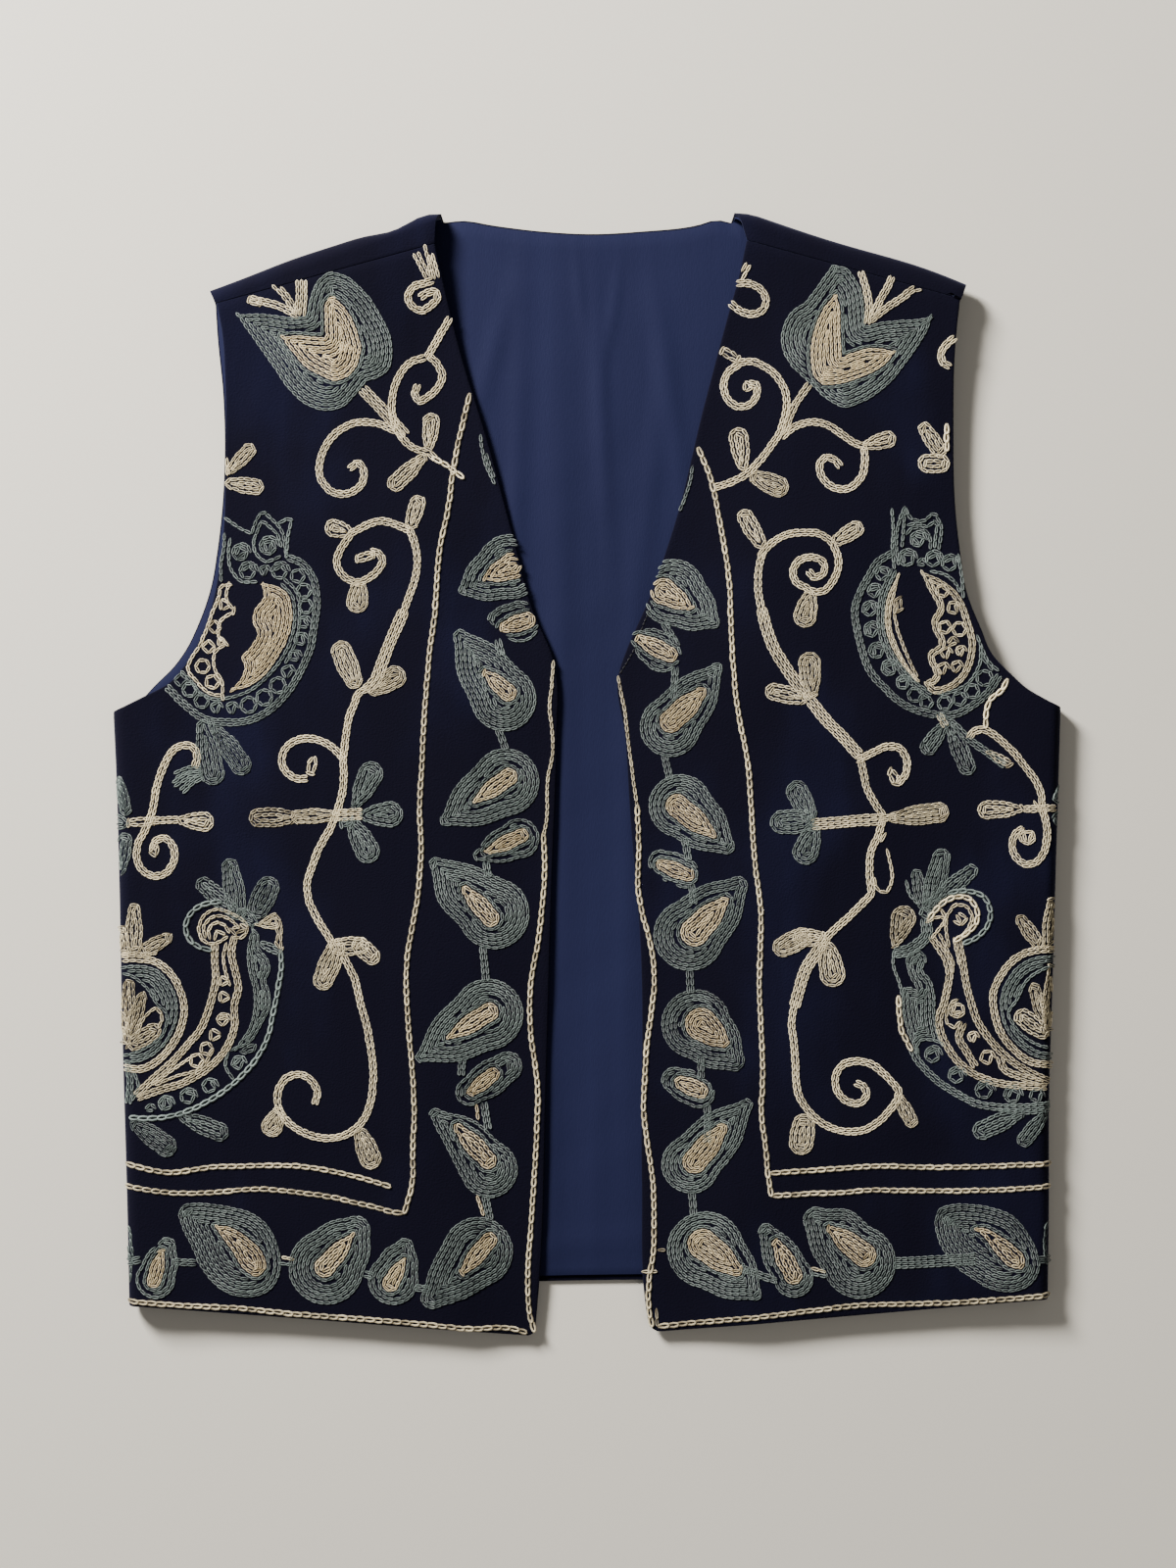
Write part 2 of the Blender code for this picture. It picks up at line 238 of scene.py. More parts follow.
@dataclass(frozen=True)
class Side:
    """The plan of one front and of the back beside it, x outwards, and the front's height.

    The curves read x at a y. A sag is how deep the shoulder's edge is drawn in, how far from
    the neck, and how wide.
    """

    name: str
    sign: int
    side: Curve
    armhole: Curve
    back_armhole: Curve
    opening: Curve
    break_y: float
    under_rim_y: float
    hem_side_y: float
    hem_seam_y: float
    tip: tuple
    peak: tuple
    folds: tuple
    creases: tuple
    ripple: Ripple
    corner: float
    sags: tuple

    def shoulder(self) -> tuple[Array, Array, Array]:
        """Find where the shoulder's roll starts and how it lies.

        Returns:
            The start at the tip, and the directions along the shoulder and outwards.
        """
        tip, peak = np.array(self.tip), np.array(self.peak)
        along = (peak - tip) / np.linalg.norm(peak - tip)
        outward = np.array([along[1], -along[0]])
        return tip - outward * SHOULDER_ROLL, along, outward

    def seam_ends(self) -> tuple[Array, Array]:
        """Return the ends of the shoulder seam, at the armhole and at the neck."""
        return np.array(self.armhole.last[::-1]), np.array(self.opening.last[::-1])

    def hem_y(self, x: Array) -> Array:
        """Find the hem, a straight line from the side to the corner of the opening.

        Args:
            x: distances outwards from the middle, in millimetres.

        Returns:
            The hem's y there.
        """
        corner_y, corner_x = self.opening.first
        side_x = self.side.first[1] - SIDE_ROLL
        return blend(corner_y, self.hem_side_y, (x - corner_x) / (side_x - corner_x))

    def height(self, x: Array, y: Array) -> Array:
        """Return the height of the front's upper face over points of the side's plan.

        The body's level height falls to the opening, the armhole and the hem, and rises to the
        rolls at the side and the shoulder, each as a bell curve of the distance. Folds, creases
        and a ripple are added. Past the start of the side's roll it follows a half ellipse down.

        Args:
            x: distances outwards from the middle, in millimetres.
            y: distances towards the neck, in millimetres.

        Returns:
            The heights above the surface that the garment lies on, in millimetres.
        """
        underarm_y, underarm_x = self.armhole.first
        edge_x = self.opening(y)
        roll_x = np.where(y < underarm_y, self.side(y) - SIDE_ROLL, underarm_x)
        past = np.clip((x - roll_x) / SIDE_ROLL, 0, ROLL_END) * (y < underarm_y + RIM_DIP)
        from_side = np.hypot(np.maximum(roll_x - x, 0), np.maximum(y - underarm_y, 0))
        start, along, outward = self.shoulder()
        from_shoulder = np.maximum(-((x - start[0]) * outward[0] + (y - start[1]) * outward[1]), 0)
        from_armhole = np.where(y < underarm_y, FAR, np.maximum(self.armhole(y) - x, 0))
        near_side, near_shoulder = bump(from_side, SIDE_REACH), bump(from_shoulder, SHOULDER_REACH)
        height = blend(BODY_HEIGHT, OPENING_HEIGHT, bump(np.maximum(x - edge_x, 0), OPENING_REACH))
        height = height - ARMHOLE_DROOP * bump(from_armhole, ARMHOLE_REACH)
        height = height - HEM_DROOP * bump(y - self.hem_y(x), HEM_REACH)
        for fold in self.folds + self.creases:
            height = height + fold.at(x, y)
        height = np.maximum(height + self.ripple.at(x, y), LOWEST_FRONT)
        height = blend(height, SIDE_HEIGHT, near_side)
        height = blend(height, SHOULDER_HEIGHT, near_shoulder)
        return height * (1 + np.sqrt(1 - past ** 2)) / 2

    def lifted(self, plan: Array, up: Array) -> Array:
        """Lift points off the front's face, along the normal that its slopes give.

        Args:
            plan: points in the garment's plan, as rows of X and Y.
            up: how far each stands off the face, along its normal.

        Returns:
            Rows of X, Y and Z, in millimetres.
        """
        x, y = plan[..., 0] * self.sign, plan[..., 1]
        level = self.height(x, y)
        slope_x, slope_y = ((self.height(x + aside, y + ahead) - self.height(x - aside, y - ahead))
                            / (2 * SLOPE_STEP) for aside, ahead in ((SLOPE_STEP, 0), (0, SLOPE_STEP)))
        size = np.sqrt(1 + slope_x ** 2 + slope_y ** 2)
        x, y, z = x - up * slope_x / size, y - up * slope_y / size, level + up / size
        return np.stack([x * self.sign, y, z], axis=-1)

    def covers(self, plan: Array, margin: float) -> Array:
        """Tell which points lie on the front, at least a margin inside its edges.

        Args:
            plan: points in the garment's plan, as rows of X and Y.
            margin: the margin, in millimetres.

        Returns:
            True for each point that does.
        """
        x, y = plan[..., 0] * self.sign, plan[..., 1]
        underarm_y = self.armhole.first[0]
        outer = np.where(y < underarm_y, self.side(y), self.armhole(y)) - margin
        tip, neck = self.seam_ends()
        seam_y = blend(neck[1], tip[1], (x - neck[0]) / (tip[0] - neck[0]))
        inside = (x > self.opening(y) + margin) & (x < outer)
        return inside & (y < seam_y - margin) & (y > self.hem_y(x) + margin)


RIGHT_SIDE = Side(
    name="right",
    sign=-1,
    side=Curve(((-288, 248.0), (-240, 249.0), (-130, 252.0), (-50, 253.6), (0, 255.0), (33, 256.5))),
    armhole=Curve(((35.8, 250.0), (41, 239.6), (47, 227.9), (56.5, 218.6), (74.5, 208.3), (92, 202.5),
                   (110, 199.0), (135, 196.3), (160, 195.6), (215, 195.6), (235, 196.6), (253.4, 199.8))),
    back_armhole=Curve(((40.5, 241.2), (47, 235.3), (57.5, 224.7), (68, 217.3), (79, 212.0), (100, 204.6),
                        (121, 200.9), (150, 197.8), (205, 197.7), (238, 200.9), (254.4, 201.9))),
    opening=Curve(((-305.5, 28.4), (-270, 25.4), (-172, 22.3), (-60, 19.1), (20, 16.4), (52, 16.4),
                   (62, 18.4), (86, 28.6), (129, 40.3), (182, 54.6), (227, 68.4), (266, 77.9),
                   (285.6, 82.4))),
    break_y=52.0,
    under_rim_y=40.5,
    hem_side_y=-288.5,
    hem_seam_y=-285.0,
    tip=(204.0, 261.0),
    peak=(80.0, 305.5),
    folds=(Fold(198, -262, 44, 17, 84, 1.3), Fold(118, -250, 52, 20, 96, -0.9),
           Fold(70, -272, 36, 15, 98, 1.0), Fold(206, -64, 40, 10, 24, 0.9),
           Fold(160, 20, 62, 17, 38, 1.0), Fold(112, 96, 58, 18, 66, -0.8)),
    creases=(Fold(238, -58, 16, 4, 118, -0.8), Fold(226, -80, 20, 5, 12, 0.6), Fold(96, 222, 30, 6, 70, 0.5),
             Fold(60, 40, 30, 7, 20, 0.5), Fold(140, -190, 34, 8, 8, 0.4), Fold(180, 190, 30, 7, 100, 0.5)),
    ripple=Ripple(0.28, 62.0, 4),
    corner=4.0,
    sags=((2.8, 27.0, 13.0), (3.2, -2.0, 7.0), (-1.0, 84.0, 24.0)),
)
LEFT_SIDE = Side(
    name="left",
    sign=1,
    side=Curve(((-284, 249.6), (-240, 250.2), (-172, 250.4), (-120, 252.0), (-50, 254.0), (0, 255.5),
                (34, 256.5))),
    armhole=Curve(((38.4, 250.0), (45, 238.5), (53, 229.5), (63, 219.9), (78, 213.1), (99, 205.1),
                   (115, 202.5), (143, 199.3), (186, 198.2), (236, 199.3), (255.8, 201.4))),
    back_armhole=Curve(((42.0, 241.2), (48, 232.4), (56, 224.0), (66, 216.6), (81, 210.2), (102, 202.7),
                        (120, 200.2), (150, 197.6), (205, 197.2), (238, 200.0), (254.8, 202.4))),
    opening=Curve(((-303.5, 34.0), (-285, 31.3), (-221, 29.7), (-90, 28.8), (-28, 23.8), (20, 20.7),
                   (53, 17.0), (67, 21.7), (90, 31.8), (137, 48.2), (195, 62.5), (249, 76.8),
                   (270, 82.6), (287.4, 86.2))),
    break_y=53.0,
    under_rim_y=42.0,
    hem_side_y=-285.0,
    hem_seam_y=-283.5,
    tip=(204.6, 262.0),
    peak=(80.6, 305.5),
    folds=(Fold(206, -258, 48, 16, 98, 1.2), Fold(132, -252, 40, 18, 86, -0.6),
           Fold(84, -266, 44, 16, 94, 1.1), Fold(214, -30, 46, 11, -32, 0.9),
           Fold(150, 26, 66, 18, -40, 1.0), Fold(118, 104, 56, 17, -68, -0.7)),
    creases=(Fold(232, -40, 24, 5, -40, 0.6), Fold(222, 10, 20, 5, 60, -0.6), Fold(100, 214, 32, 6, -66, 0.5),
             Fold(70, 30, 30, 7, -16, 0.5), Fold(150, -196, 38, 8, 4, 0.4), Fold(184, 180, 30, 7, 82, 0.5)),
    ripple=Ripple(0.28, 62.0, 11),
    corner=6.0,
    sags=((-3.4, 108.0, 42.0), (2.6, -2.0, 7.0)),
)
SIDES = (RIGHT_SIDE, LEFT_SIDE)


# Noises: no stretch along the axes, and the value about which one varies.
EVEN = (1.0, 1.0, 1.0)
NOISE_MIDDLE = 0.5


def operator(operation: str, reflected: bool = False) -> Callable[["Value", object], "Value"]:
    """Make a Value's method that adds a Math node of it and another value or number.

    Args:
        operation: the node's operation.
        reflected: whether the other comes first.

    Returns:
        The method.
    """
    def method(self: "Value", other: object) -> "Value":
        """Return the two combined."""
        pair = (other, self) if reflected else (self, other)
        return self.shading.add("ShaderNodeMath", {"operation": operation}, dict(enumerate(pair)))
    return method


class Value:
    """A shader socket that takes part in Python expressions, each of which adds a Math node."""

    def __init__(self, shading: "Shading", socket: bpy.types.NodeSocket) -> None:
        """Keep the socket and the material whose nodes it belongs to."""
        self.shading = shading
        self.socket = socket

    __add__, __radd__ = operator("ADD"), operator("ADD", reflected=True)
    __sub__, __rsub__ = operator("SUBTRACT"), operator("SUBTRACT", reflected=True)
    __mul__, __rmul__ = operator("MULTIPLY"), operator("MULTIPLY", reflected=True)

    def between(self, low: float, high: float) -> "Value":
        """Return 0 below low, 1 above high and a smooth step from one to the other."""
        settings = {"interpolation_type": "SMOOTHSTEP"}
        return self.shading.add("ShaderNodeMapRange", settings, {0: self, 1: low, 2: high})


class Shading:
    """One material's nodes around its Principled shader."""

    def __init__(self, name: str) -> None:
        """Make the material and find its shader.

        Args:
            name: the material's name.
        """
        self.material = bpy.data.materials.new(name)
        self.material.use_nodes = True
        self.shader = self.material.node_tree.nodes["Principled BSDF"]

    def add(self, kind: str, settings: dict | None = None, inputs: dict | None = None,
            output: int = 0) -> Value:
        """Add any node.

        Args:
            kind: the node's type.
            settings: its properties, which are set first.
            inputs: a number, a tuple or a Value for each named or numbered socket.
            output: which of its outputs to return.

        Returns:
            That output, ready for expressions.
        """
        node = self.material.node_tree.nodes.new(kind)
        for name, value in (settings or {}).items():
            setattr(node, name, value)
        for key, value in (inputs or {}).items():
            self.feed(node.inputs[key], value)
        return Value(self, node.outputs[output])

    def feed(self, socket: bpy.types.NodeSocket, value: object) -> None:
        """Link a Value to a socket, or set the socket.

        Args:
            socket: the socket.
            value: a Value, a number or a tuple.
        """
        if isinstance(value, Value):
            self.material.node_tree.links.new(value.socket, socket)
        else:
            socket.default_value = value

    def dress(self, **inputs: object) -> None:
        """Feed the Principled shader's sockets, whose names are given with _ for a space."""
        for name, value in inputs.items():
            self.feed(self.shader.inputs[name.replace("_", " ")], value)

    def place(self, scale: tuple) -> Value:
        """Return the point of the surface in the object's own frame, stretched by a scale."""
        point = self.add("ShaderNodeTexCoord", output=3)
        return self.add("ShaderNodeMapping", {}, {"Vector": point, "Scale": scale})

    def noise(self, scale: float, stretch: tuple = EVEN, detail: float = 2.0) -> Value:
        """Return a noise of a number of waves in each metre, stretched along the axes."""
        inputs = {"Vector": self.place(stretch), "Scale": scale, "Detail": detail}
        return self.add("ShaderNodeTexNoise", {}, inputs)

    def mix(self, factor: object, first: object, last: object) -> Value:
        """Return a colour between two colours."""
        inputs = {0: factor, 6: first, 7: last}
        return self.add("ShaderNodeMix", {"data_type": "RGBA"}, inputs, output=2)

    def bumped(self, height: Value, distance: float, strength: float) -> Value:
        """Return the normal of a surface raised by a height, in metres."""
        inputs = {"Height": height, "Distance": distance, "Strength": strength}
        return self.add("ShaderNodeBump", {}, inputs)


@dataclass(frozen=True)
class Velvet:
    """Cotton velvet: a matt pile, dark where it stands, and bluer with painted sheen in patches and streaks.

    Each noise is its waves in a metre, its stretch along the axes and its detail.
    """

    name: str = "navy_velvet"
    deep: tuple = (0.0028, 0.0024, 0.0076, 1)
    # The painted sheen's colour, where the nap would catch the light.
    brushed_sheen: tuple = (0.0046, 0.0048, 0.0170, 1)
    roughness: float = 0.92
    sheen: float = 0.15
    sheen_tint: tuple = (0.35, 0.38, 0.75, 1)
    sheen_roughness: float = 0.38
    gloss: float = 0.07
    patch_noise: tuple = (13.0, (1.0, 0.6, 1.0), 3.0)
    streak_noise: tuple = (60.0, (1.0, 0.22, 1.0), 2.0)
    pile_noise: tuple = (950.0, EVEN, 2.0)
    patch_step: tuple = (0.50, 0.72)
    streak_step: tuple = (0.35, 0.80)
    patch_share: float = 0.62
    patch_streak_share: float = 0.38
    pile_share: float = 0.25
    streak_share: float = 0.10
    streak_rise: float = 0.5
    pile_depth: float = 0.00035
    pile_strength: float = 0.8

    def material(self) -> bpy.types.Material:
        """Make the material: patches and streaks of painted sheen, and a fine uneven pile.

        The share of the painted sheen's colour is a sum of the patches, the streaks in them and the
        pile's unevenness.

        Returns:
            The material.
        """
        shading = Shading(self.name)
        # Patches and streaks of painted sheen: lighter and bluer where the nap would catch the light.
        sheen_patches = shading.noise(*self.patch_noise).between(*self.patch_step)
        streaks = shading.noise(*self.streak_noise).between(*self.streak_step)
        pile = shading.noise(*self.pile_noise)
        amount = (sheen_patches * self.patch_share + sheen_patches * streaks * self.patch_streak_share
                  + (pile - NOISE_MIDDLE) * self.pile_share + streaks * self.streak_share)
        height = pile + streaks * self.streak_rise
        shading.dress(Base_Color=shading.mix(amount, self.deep, self.brushed_sheen),
                      Roughness=self.roughness, Specular_IOR_Level=self.gloss, Sheen_Weight=self.sheen,
                      Sheen_Roughness=self.sheen_roughness, Sheen_Tint=self.sheen_tint,
                      Normal=shading.bumped(height, self.pile_depth, self.pile_strength))
        return shading.material


@dataclass(frozen=True)
class Sateen:
    """The lining's sateen: smooth blue cloth with faint streaks of painted sheen down its length."""

    name: str = "blue_lining"
    shade: tuple = (0.0076, 0.0089, 0.0298, 1)
    light: tuple = (0.0144, 0.0168, 0.0518, 1)
    roughness: float = 0.64
    gloss: float = 0.07
    sheen: float = 0.05
    sheen_tint: tuple = (0.30, 0.38, 0.90, 1)
    sheen_roughness: float = 0.4
    streak_noise: tuple = (34.0, (1.0, 0.05, 1.0), 4.0)
    cloud_noise: tuple = (7.0, (1.0, 0.5, 1.0), 1.0)
    weave_noise: tuple = (1500.0, (1.0, 0.25, 1.0), 1.0)
    streak_share: float = 0.7
    cloud_share: float = 0.5
    weave_share: float = 0.2
    darker: float = 0.1
    weave_rise: float = 0.3
    weave_depth: float = 0.0005
    weave_strength: float = 0.5

    def material(self) -> bpy.types.Material:
        """Make the material: long faint streaks of painted sheen, broad clouds and a fine weave.

        The share of the light colour is a sum of the three.

        Returns:
            The material.
        """
        shading = Shading(self.name)
        # The streaks are painted sheen in the colour, and also raise the bump.
        streaks = shading.noise(*self.streak_noise)
        clouds = shading.noise(*self.cloud_noise)
        weave = shading.noise(*self.weave_noise)
        amount = (streaks * self.streak_share + clouds * self.cloud_share
                  + (weave - NOISE_MIDDLE) * self.weave_share - self.darker)
        height = weave * self.weave_rise + streaks
        shading.dress(Base_Color=shading.mix(amount, self.shade, self.light),
                      Roughness=self.roughness, Specular_IOR_Level=self.gloss, Sheen_Weight=self.sheen,
                      Sheen_Roughness=self.sheen_roughness, Sheen_Tint=self.sheen_tint,
                      Normal=shading.bumped(height, self.weave_depth, self.weave_strength))
        return shading.material


@dataclass(frozen=True)
class Yarn:
    """Embroidery thread, whose tone changes at random from link to link, with painted shade and light along
    each link.
    """

    name: str
    dark: tuple
    light: tuple
    roughness: float = 0.72
    gloss: float = 0.3
    sheen: float = 0.25
    sheen_roughness: float = 0.5
    fibre_waves: float = 1800.0
    fibre_share: float = 0.45
    fibre_depth: float = 0.0002
    fibre_strength: float = 0.6

    def material(self) -> bpy.types.Material:
        """Make the material: the links' own tone with its painted shade and light, and fibres that roughen
        each strand.

        The share of the light colour is the tone and a share of the fibres' noise.

        Returns:
            The material.
        """
        shading = Shading(self.name)
        tone = shading.add("ShaderNodeAttribute", {"attribute_name": "tone"}, output=2)
        fibre = shading.noise(self.fibre_waves)
        amount = tone + (fibre - NOISE_MIDDLE) * self.fibre_share
        shading.dress(Base_Color=shading.mix(amount, self.dark, self.light),
                      Roughness=self.roughness, Specular_IOR_Level=self.gloss,
                      Sheen_Weight=self.sheen, Sheen_Roughness=self.sheen_roughness,
                      Normal=shading.bumped(fibre, self.fibre_depth, self.fibre_strength))
        return shading.material


class Thread(Enum):
    """The threads: the record's slot and the shade of each."""

    CREAM = ("cream_thread", "cream")
    STRAW = ("cream_thread", "straw")
    TEAL = ("teal_thread", "teal")
    NAVY = ("velvet", "navy")


YARNS = {
    Thread.CREAM: Yarn("cream_yarn", (0.150, 0.118, 0.066, 1), (0.990, 0.848, 0.545, 1)),
    Thread.STRAW: Yarn("straw_yarn", (0.270, 0.196, 0.098, 1), (0.995, 0.815, 0.485, 1)),
    Thread.TEAL: Yarn("teal_yarn", (0.008, 0.015, 0.016, 1), (0.212, 0.263, 0.240, 1)),
    Thread.NAVY: Yarn("navy_yarn", (0.0020, 0.0020, 0.0040, 1), (0.0060, 0.0060, 0.0120, 1)),
}


def placed(name: str, data: bpy.types.ID) -> bpy.types.Object:
    """Put a mesh, light or camera into the scene.

    Args:
        name: the object's name.
        data: what it shows.

    Returns:
        The object, at the origin.
    """
    holder = bpy.data.objects.new(name, data)
    bpy.context.scene.collection.objects.link(holder)
    return holder


@dataclass
class Piece:
    """A mesh on its way: points in millimetres, quads, and a tone for each point if it has one."""

    name: str
    points: Array
    quads: Array
    materials: tuple
    tone: Array | None = None

    def make(self, replaces: tuple = ()) -> bpy.types.Object:
        """Make the object, riding on the garment's one body.

        Args:
            replaces: the frame's nodes that it stands for.

        Returns:
            The object, at the origin.
        """
        mesh = bpy.data.meshes.new(self.name)
        mesh.from_pydata(self.points * MM, [], self.quads.tolist())
        for material in self.materials:
            mesh.materials.append(material)
        if self.tone is not None:
            mesh.attributes.new("tone", "FLOAT", "POINT").data.foreach_set("value", self.tone)
        mesh.shade_smooth()
        piece = placed(self.name, mesh)
        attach(piece, "root")
        if replaces:
            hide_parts(*replaces)
        log.info("%s: %d points, %d quads", self.name, len(self.points), len(self.quads))
        return piece


def grid_quads(index: Array, flipped: bool) -> Array:
    """Join the rows and columns of a grid of point numbers.

    Args:
        index: the numbers, as rows of columns.
        flipped: whether the faces turn the other way.

    Returns:
        A row of four numbers for each quad.
    """
    quads = np.stack([index[:-1, :-1], index[:-1, 1:], index[1:, 1:], index[1:, :-1]], axis=-1)
    quads = quads.reshape(-1, 4)
    return quads[:, ::-1] if flipped else quads


EDGE_SEGMENTS = 2
EDGE_ANGLE = np.radians(50)


def walled(piece: bpy.types.Object, thickness: float, inner: int = 0, rounding: float = 0.6) -> None:
    """Give a face the thickness of its cloth on its inner side, with rounded edges.

    Args:
        piece: the outer face.
        thickness: the cloth's, in millimetres.
        inner: how many material slots further the inner face's material lies.
        rounding: the radius of the cloth's edges, in millimetres.
    """
    wall = piece.modifiers.new("Wall", "SOLIDIFY")
    wall.thickness = thickness * MM
    wall.offset = -1
    wall.material_offset = inner
    edge = piece.modifiers.new("Edge", "BEVEL")
    edge.width = rounding * MM
    edge.segments = EDGE_SEGMENTS
    edge.limit_method = "ANGLE"
    edge.angle_limit = EDGE_ANGLE


@dataclass
class Front:
    """One front: its face, the roll at its side and the strip carried under the body."""

    side: Side
    lower_rows: int = 90
    upper_rows: int = 70
    columns: int = 64
    roll_steps: int = 16
    run_steps: int = 4

    def face(self) -> Array:
        """Return the upper face as a grid: rows from the hem to the shoulder seam.

        Each row is a straight line in the plan from the side or the armhole to the opening,
        and its height is the side's own. The corner at the hem is rounded.

        Returns:
            An array of rows, columns and the three coordinates, x outwards.
        """
        side = self.side
        underarm_y = side.armhole.first[0]
        lower, upper = even(self.lower_rows), even(self.upper_rows)[1:]
        low_y = blend(side.hem_side_y, underarm_y, lower)
        high_y = blend(underarm_y, side.armhole.last[0], upper ** ARMHOLE_CROWDING)
        side_x = np.concatenate([side.side(low_y) - SIDE_ROLL, side.armhole(high_y)])
        side_x[self.lower_rows] = side.armhole.first[1]
        side_y = np.concatenate([low_y, high_y])
        open_y = np.concatenate([blend(side.opening.first[0], side.break_y, lower),
                                 blend(side.break_y, side.opening.last[0], upper ** NECK_CROWDING)])
        part = even(self.columns)
        x = blend(side_x[:, None], side.opening(open_y)[:, None], part)
        y = blend(side_y[:, None], open_y[:, None], part)
        x, y = self.rounded(x, y)
        return np.stack([x, y, side.height(x, y)], axis=-1)

    def rounded(self, x: Array, y: Array) -> tuple[Array, Array]:
        """Round the corner of the hem and the opening.

        Points within the corner's radius of both edges are moved as a square is mapped to a
        disc: each distance from the corner's middle shrinks by the root of one less half the
        other's square.

        Args:
            x: the points' x, outwards.
            y: their y.

        Returns:
            Their moved x and y.
        """
        radius = self.side.corner
        edge = self.side.opening(y)
        hem = self.side.hem_y(x)
        across = np.clip(1 - (x - edge) / radius, 0, 1)
        down = np.clip(1 - (y - hem) / radius, 0, 1)
        x = x + radius * across * (1 - np.sqrt(1 - down ** 2 / 2))
        y = y + radius * down * (1 - np.sqrt(1 - across ** 2 / 2))
        return x, y

    def wrap(self, face: Array) -> Array:
        """Carry the cloth over the side's roll and under it to the side seam.

        A half ellipse as high as the face beside it turns the cloth under, and a level run
        carries it in to the side seam. Its rim and hem run straight to the ends of the seam.

        Args:
            face: the upper face's grid.

        Returns:
            A grid whose columns go on from the face's first column.
        """
        side = self.side
        start = face[:self.lower_rows + 1, 0]
        level = np.linspace(0, 1, len(start))
        angle = np.linspace(0, np.pi, self.roll_steps + 1)[1:]
        run = np.linspace(0, UNDER_WIDTH - SIDE_ROLL, self.run_steps + 1)[1:]
        out = np.concatenate([SIDE_ROLL * np.sin(angle), -run])
        turn = np.concatenate([(1 + np.cos(angle)) / 2, np.zeros(len(run))])
        inward = np.concatenate([np.zeros(len(angle)), run / run[-1]])
        dip = np.concatenate([np.sin(angle), np.zeros(len(run))]) * RIM_DIP
        rim_y = blend(side.armhole.first[0], side.under_rim_y, inward) - dip
        low_y = blend(side.hem_side_y, side.hem_seam_y, inward)
        y = blend(low_y, rim_y, level[:, None])
        return np.stack([start[:, :1] + out, y, start[:, 2:] * turn], axis=-1)

    def build(self, velvet: bpy.types.Material, lining: bpy.types.Material) -> bpy.types.Object:
        """Build the front as one cloth wall.

        Args:
            velvet: the finish outside.
            lining: the finish inside.

        Returns:
            The object.
        """
        face = self.face()
        wrap = self.wrap(face)
        rows, columns = face.shape[:2]
        face_index = np.arange(rows * columns).reshape(rows, columns)
        wrap_index = rows * columns + np.arange(wrap.shape[0] * wrap.shape[1]).reshape(wrap.shape[:2])
        wrap_index = np.concatenate([face_index[:len(wrap), :1], wrap_index], axis=1)
        over = self.side.sign > 0
        points = np.concatenate([face.reshape(-1, 3), wrap.reshape(-1, 3)]) * (self.side.sign, 1, 1)
        quads = np.concatenate([grid_quads(face_index, over), grid_quads(wrap_index, not over)])
        node = f"{self.side.name}_front"
        piece = Piece(f"velvet_{node}", points, quads, (velvet, lining)).make((node,))
        walled(piece, FRONT_WALL, inner=1)
        return piece


# The back's own edges, and the radius of a thin cloth's edge.
THIN_ROUNDING = 0.35
BACK_NECK = Curve(((-78.0, 299.0), (-67.0, 300.0), (-51.4, 297.5), (-24.4, 294.2), (2.6, 292.8),
                   (29.7, 294.2), (60.0, 297.6), (70.5, 300.4), (78.4, 299.0)))
BACK_HEM = Curve(((-233.0, -285.0), (-160.0, -281.0), (-60.0, -277.2), (20.0, -275.6),
                  (90.0, -275.5), (170.0, -279.5), (235.0, -283.5)))


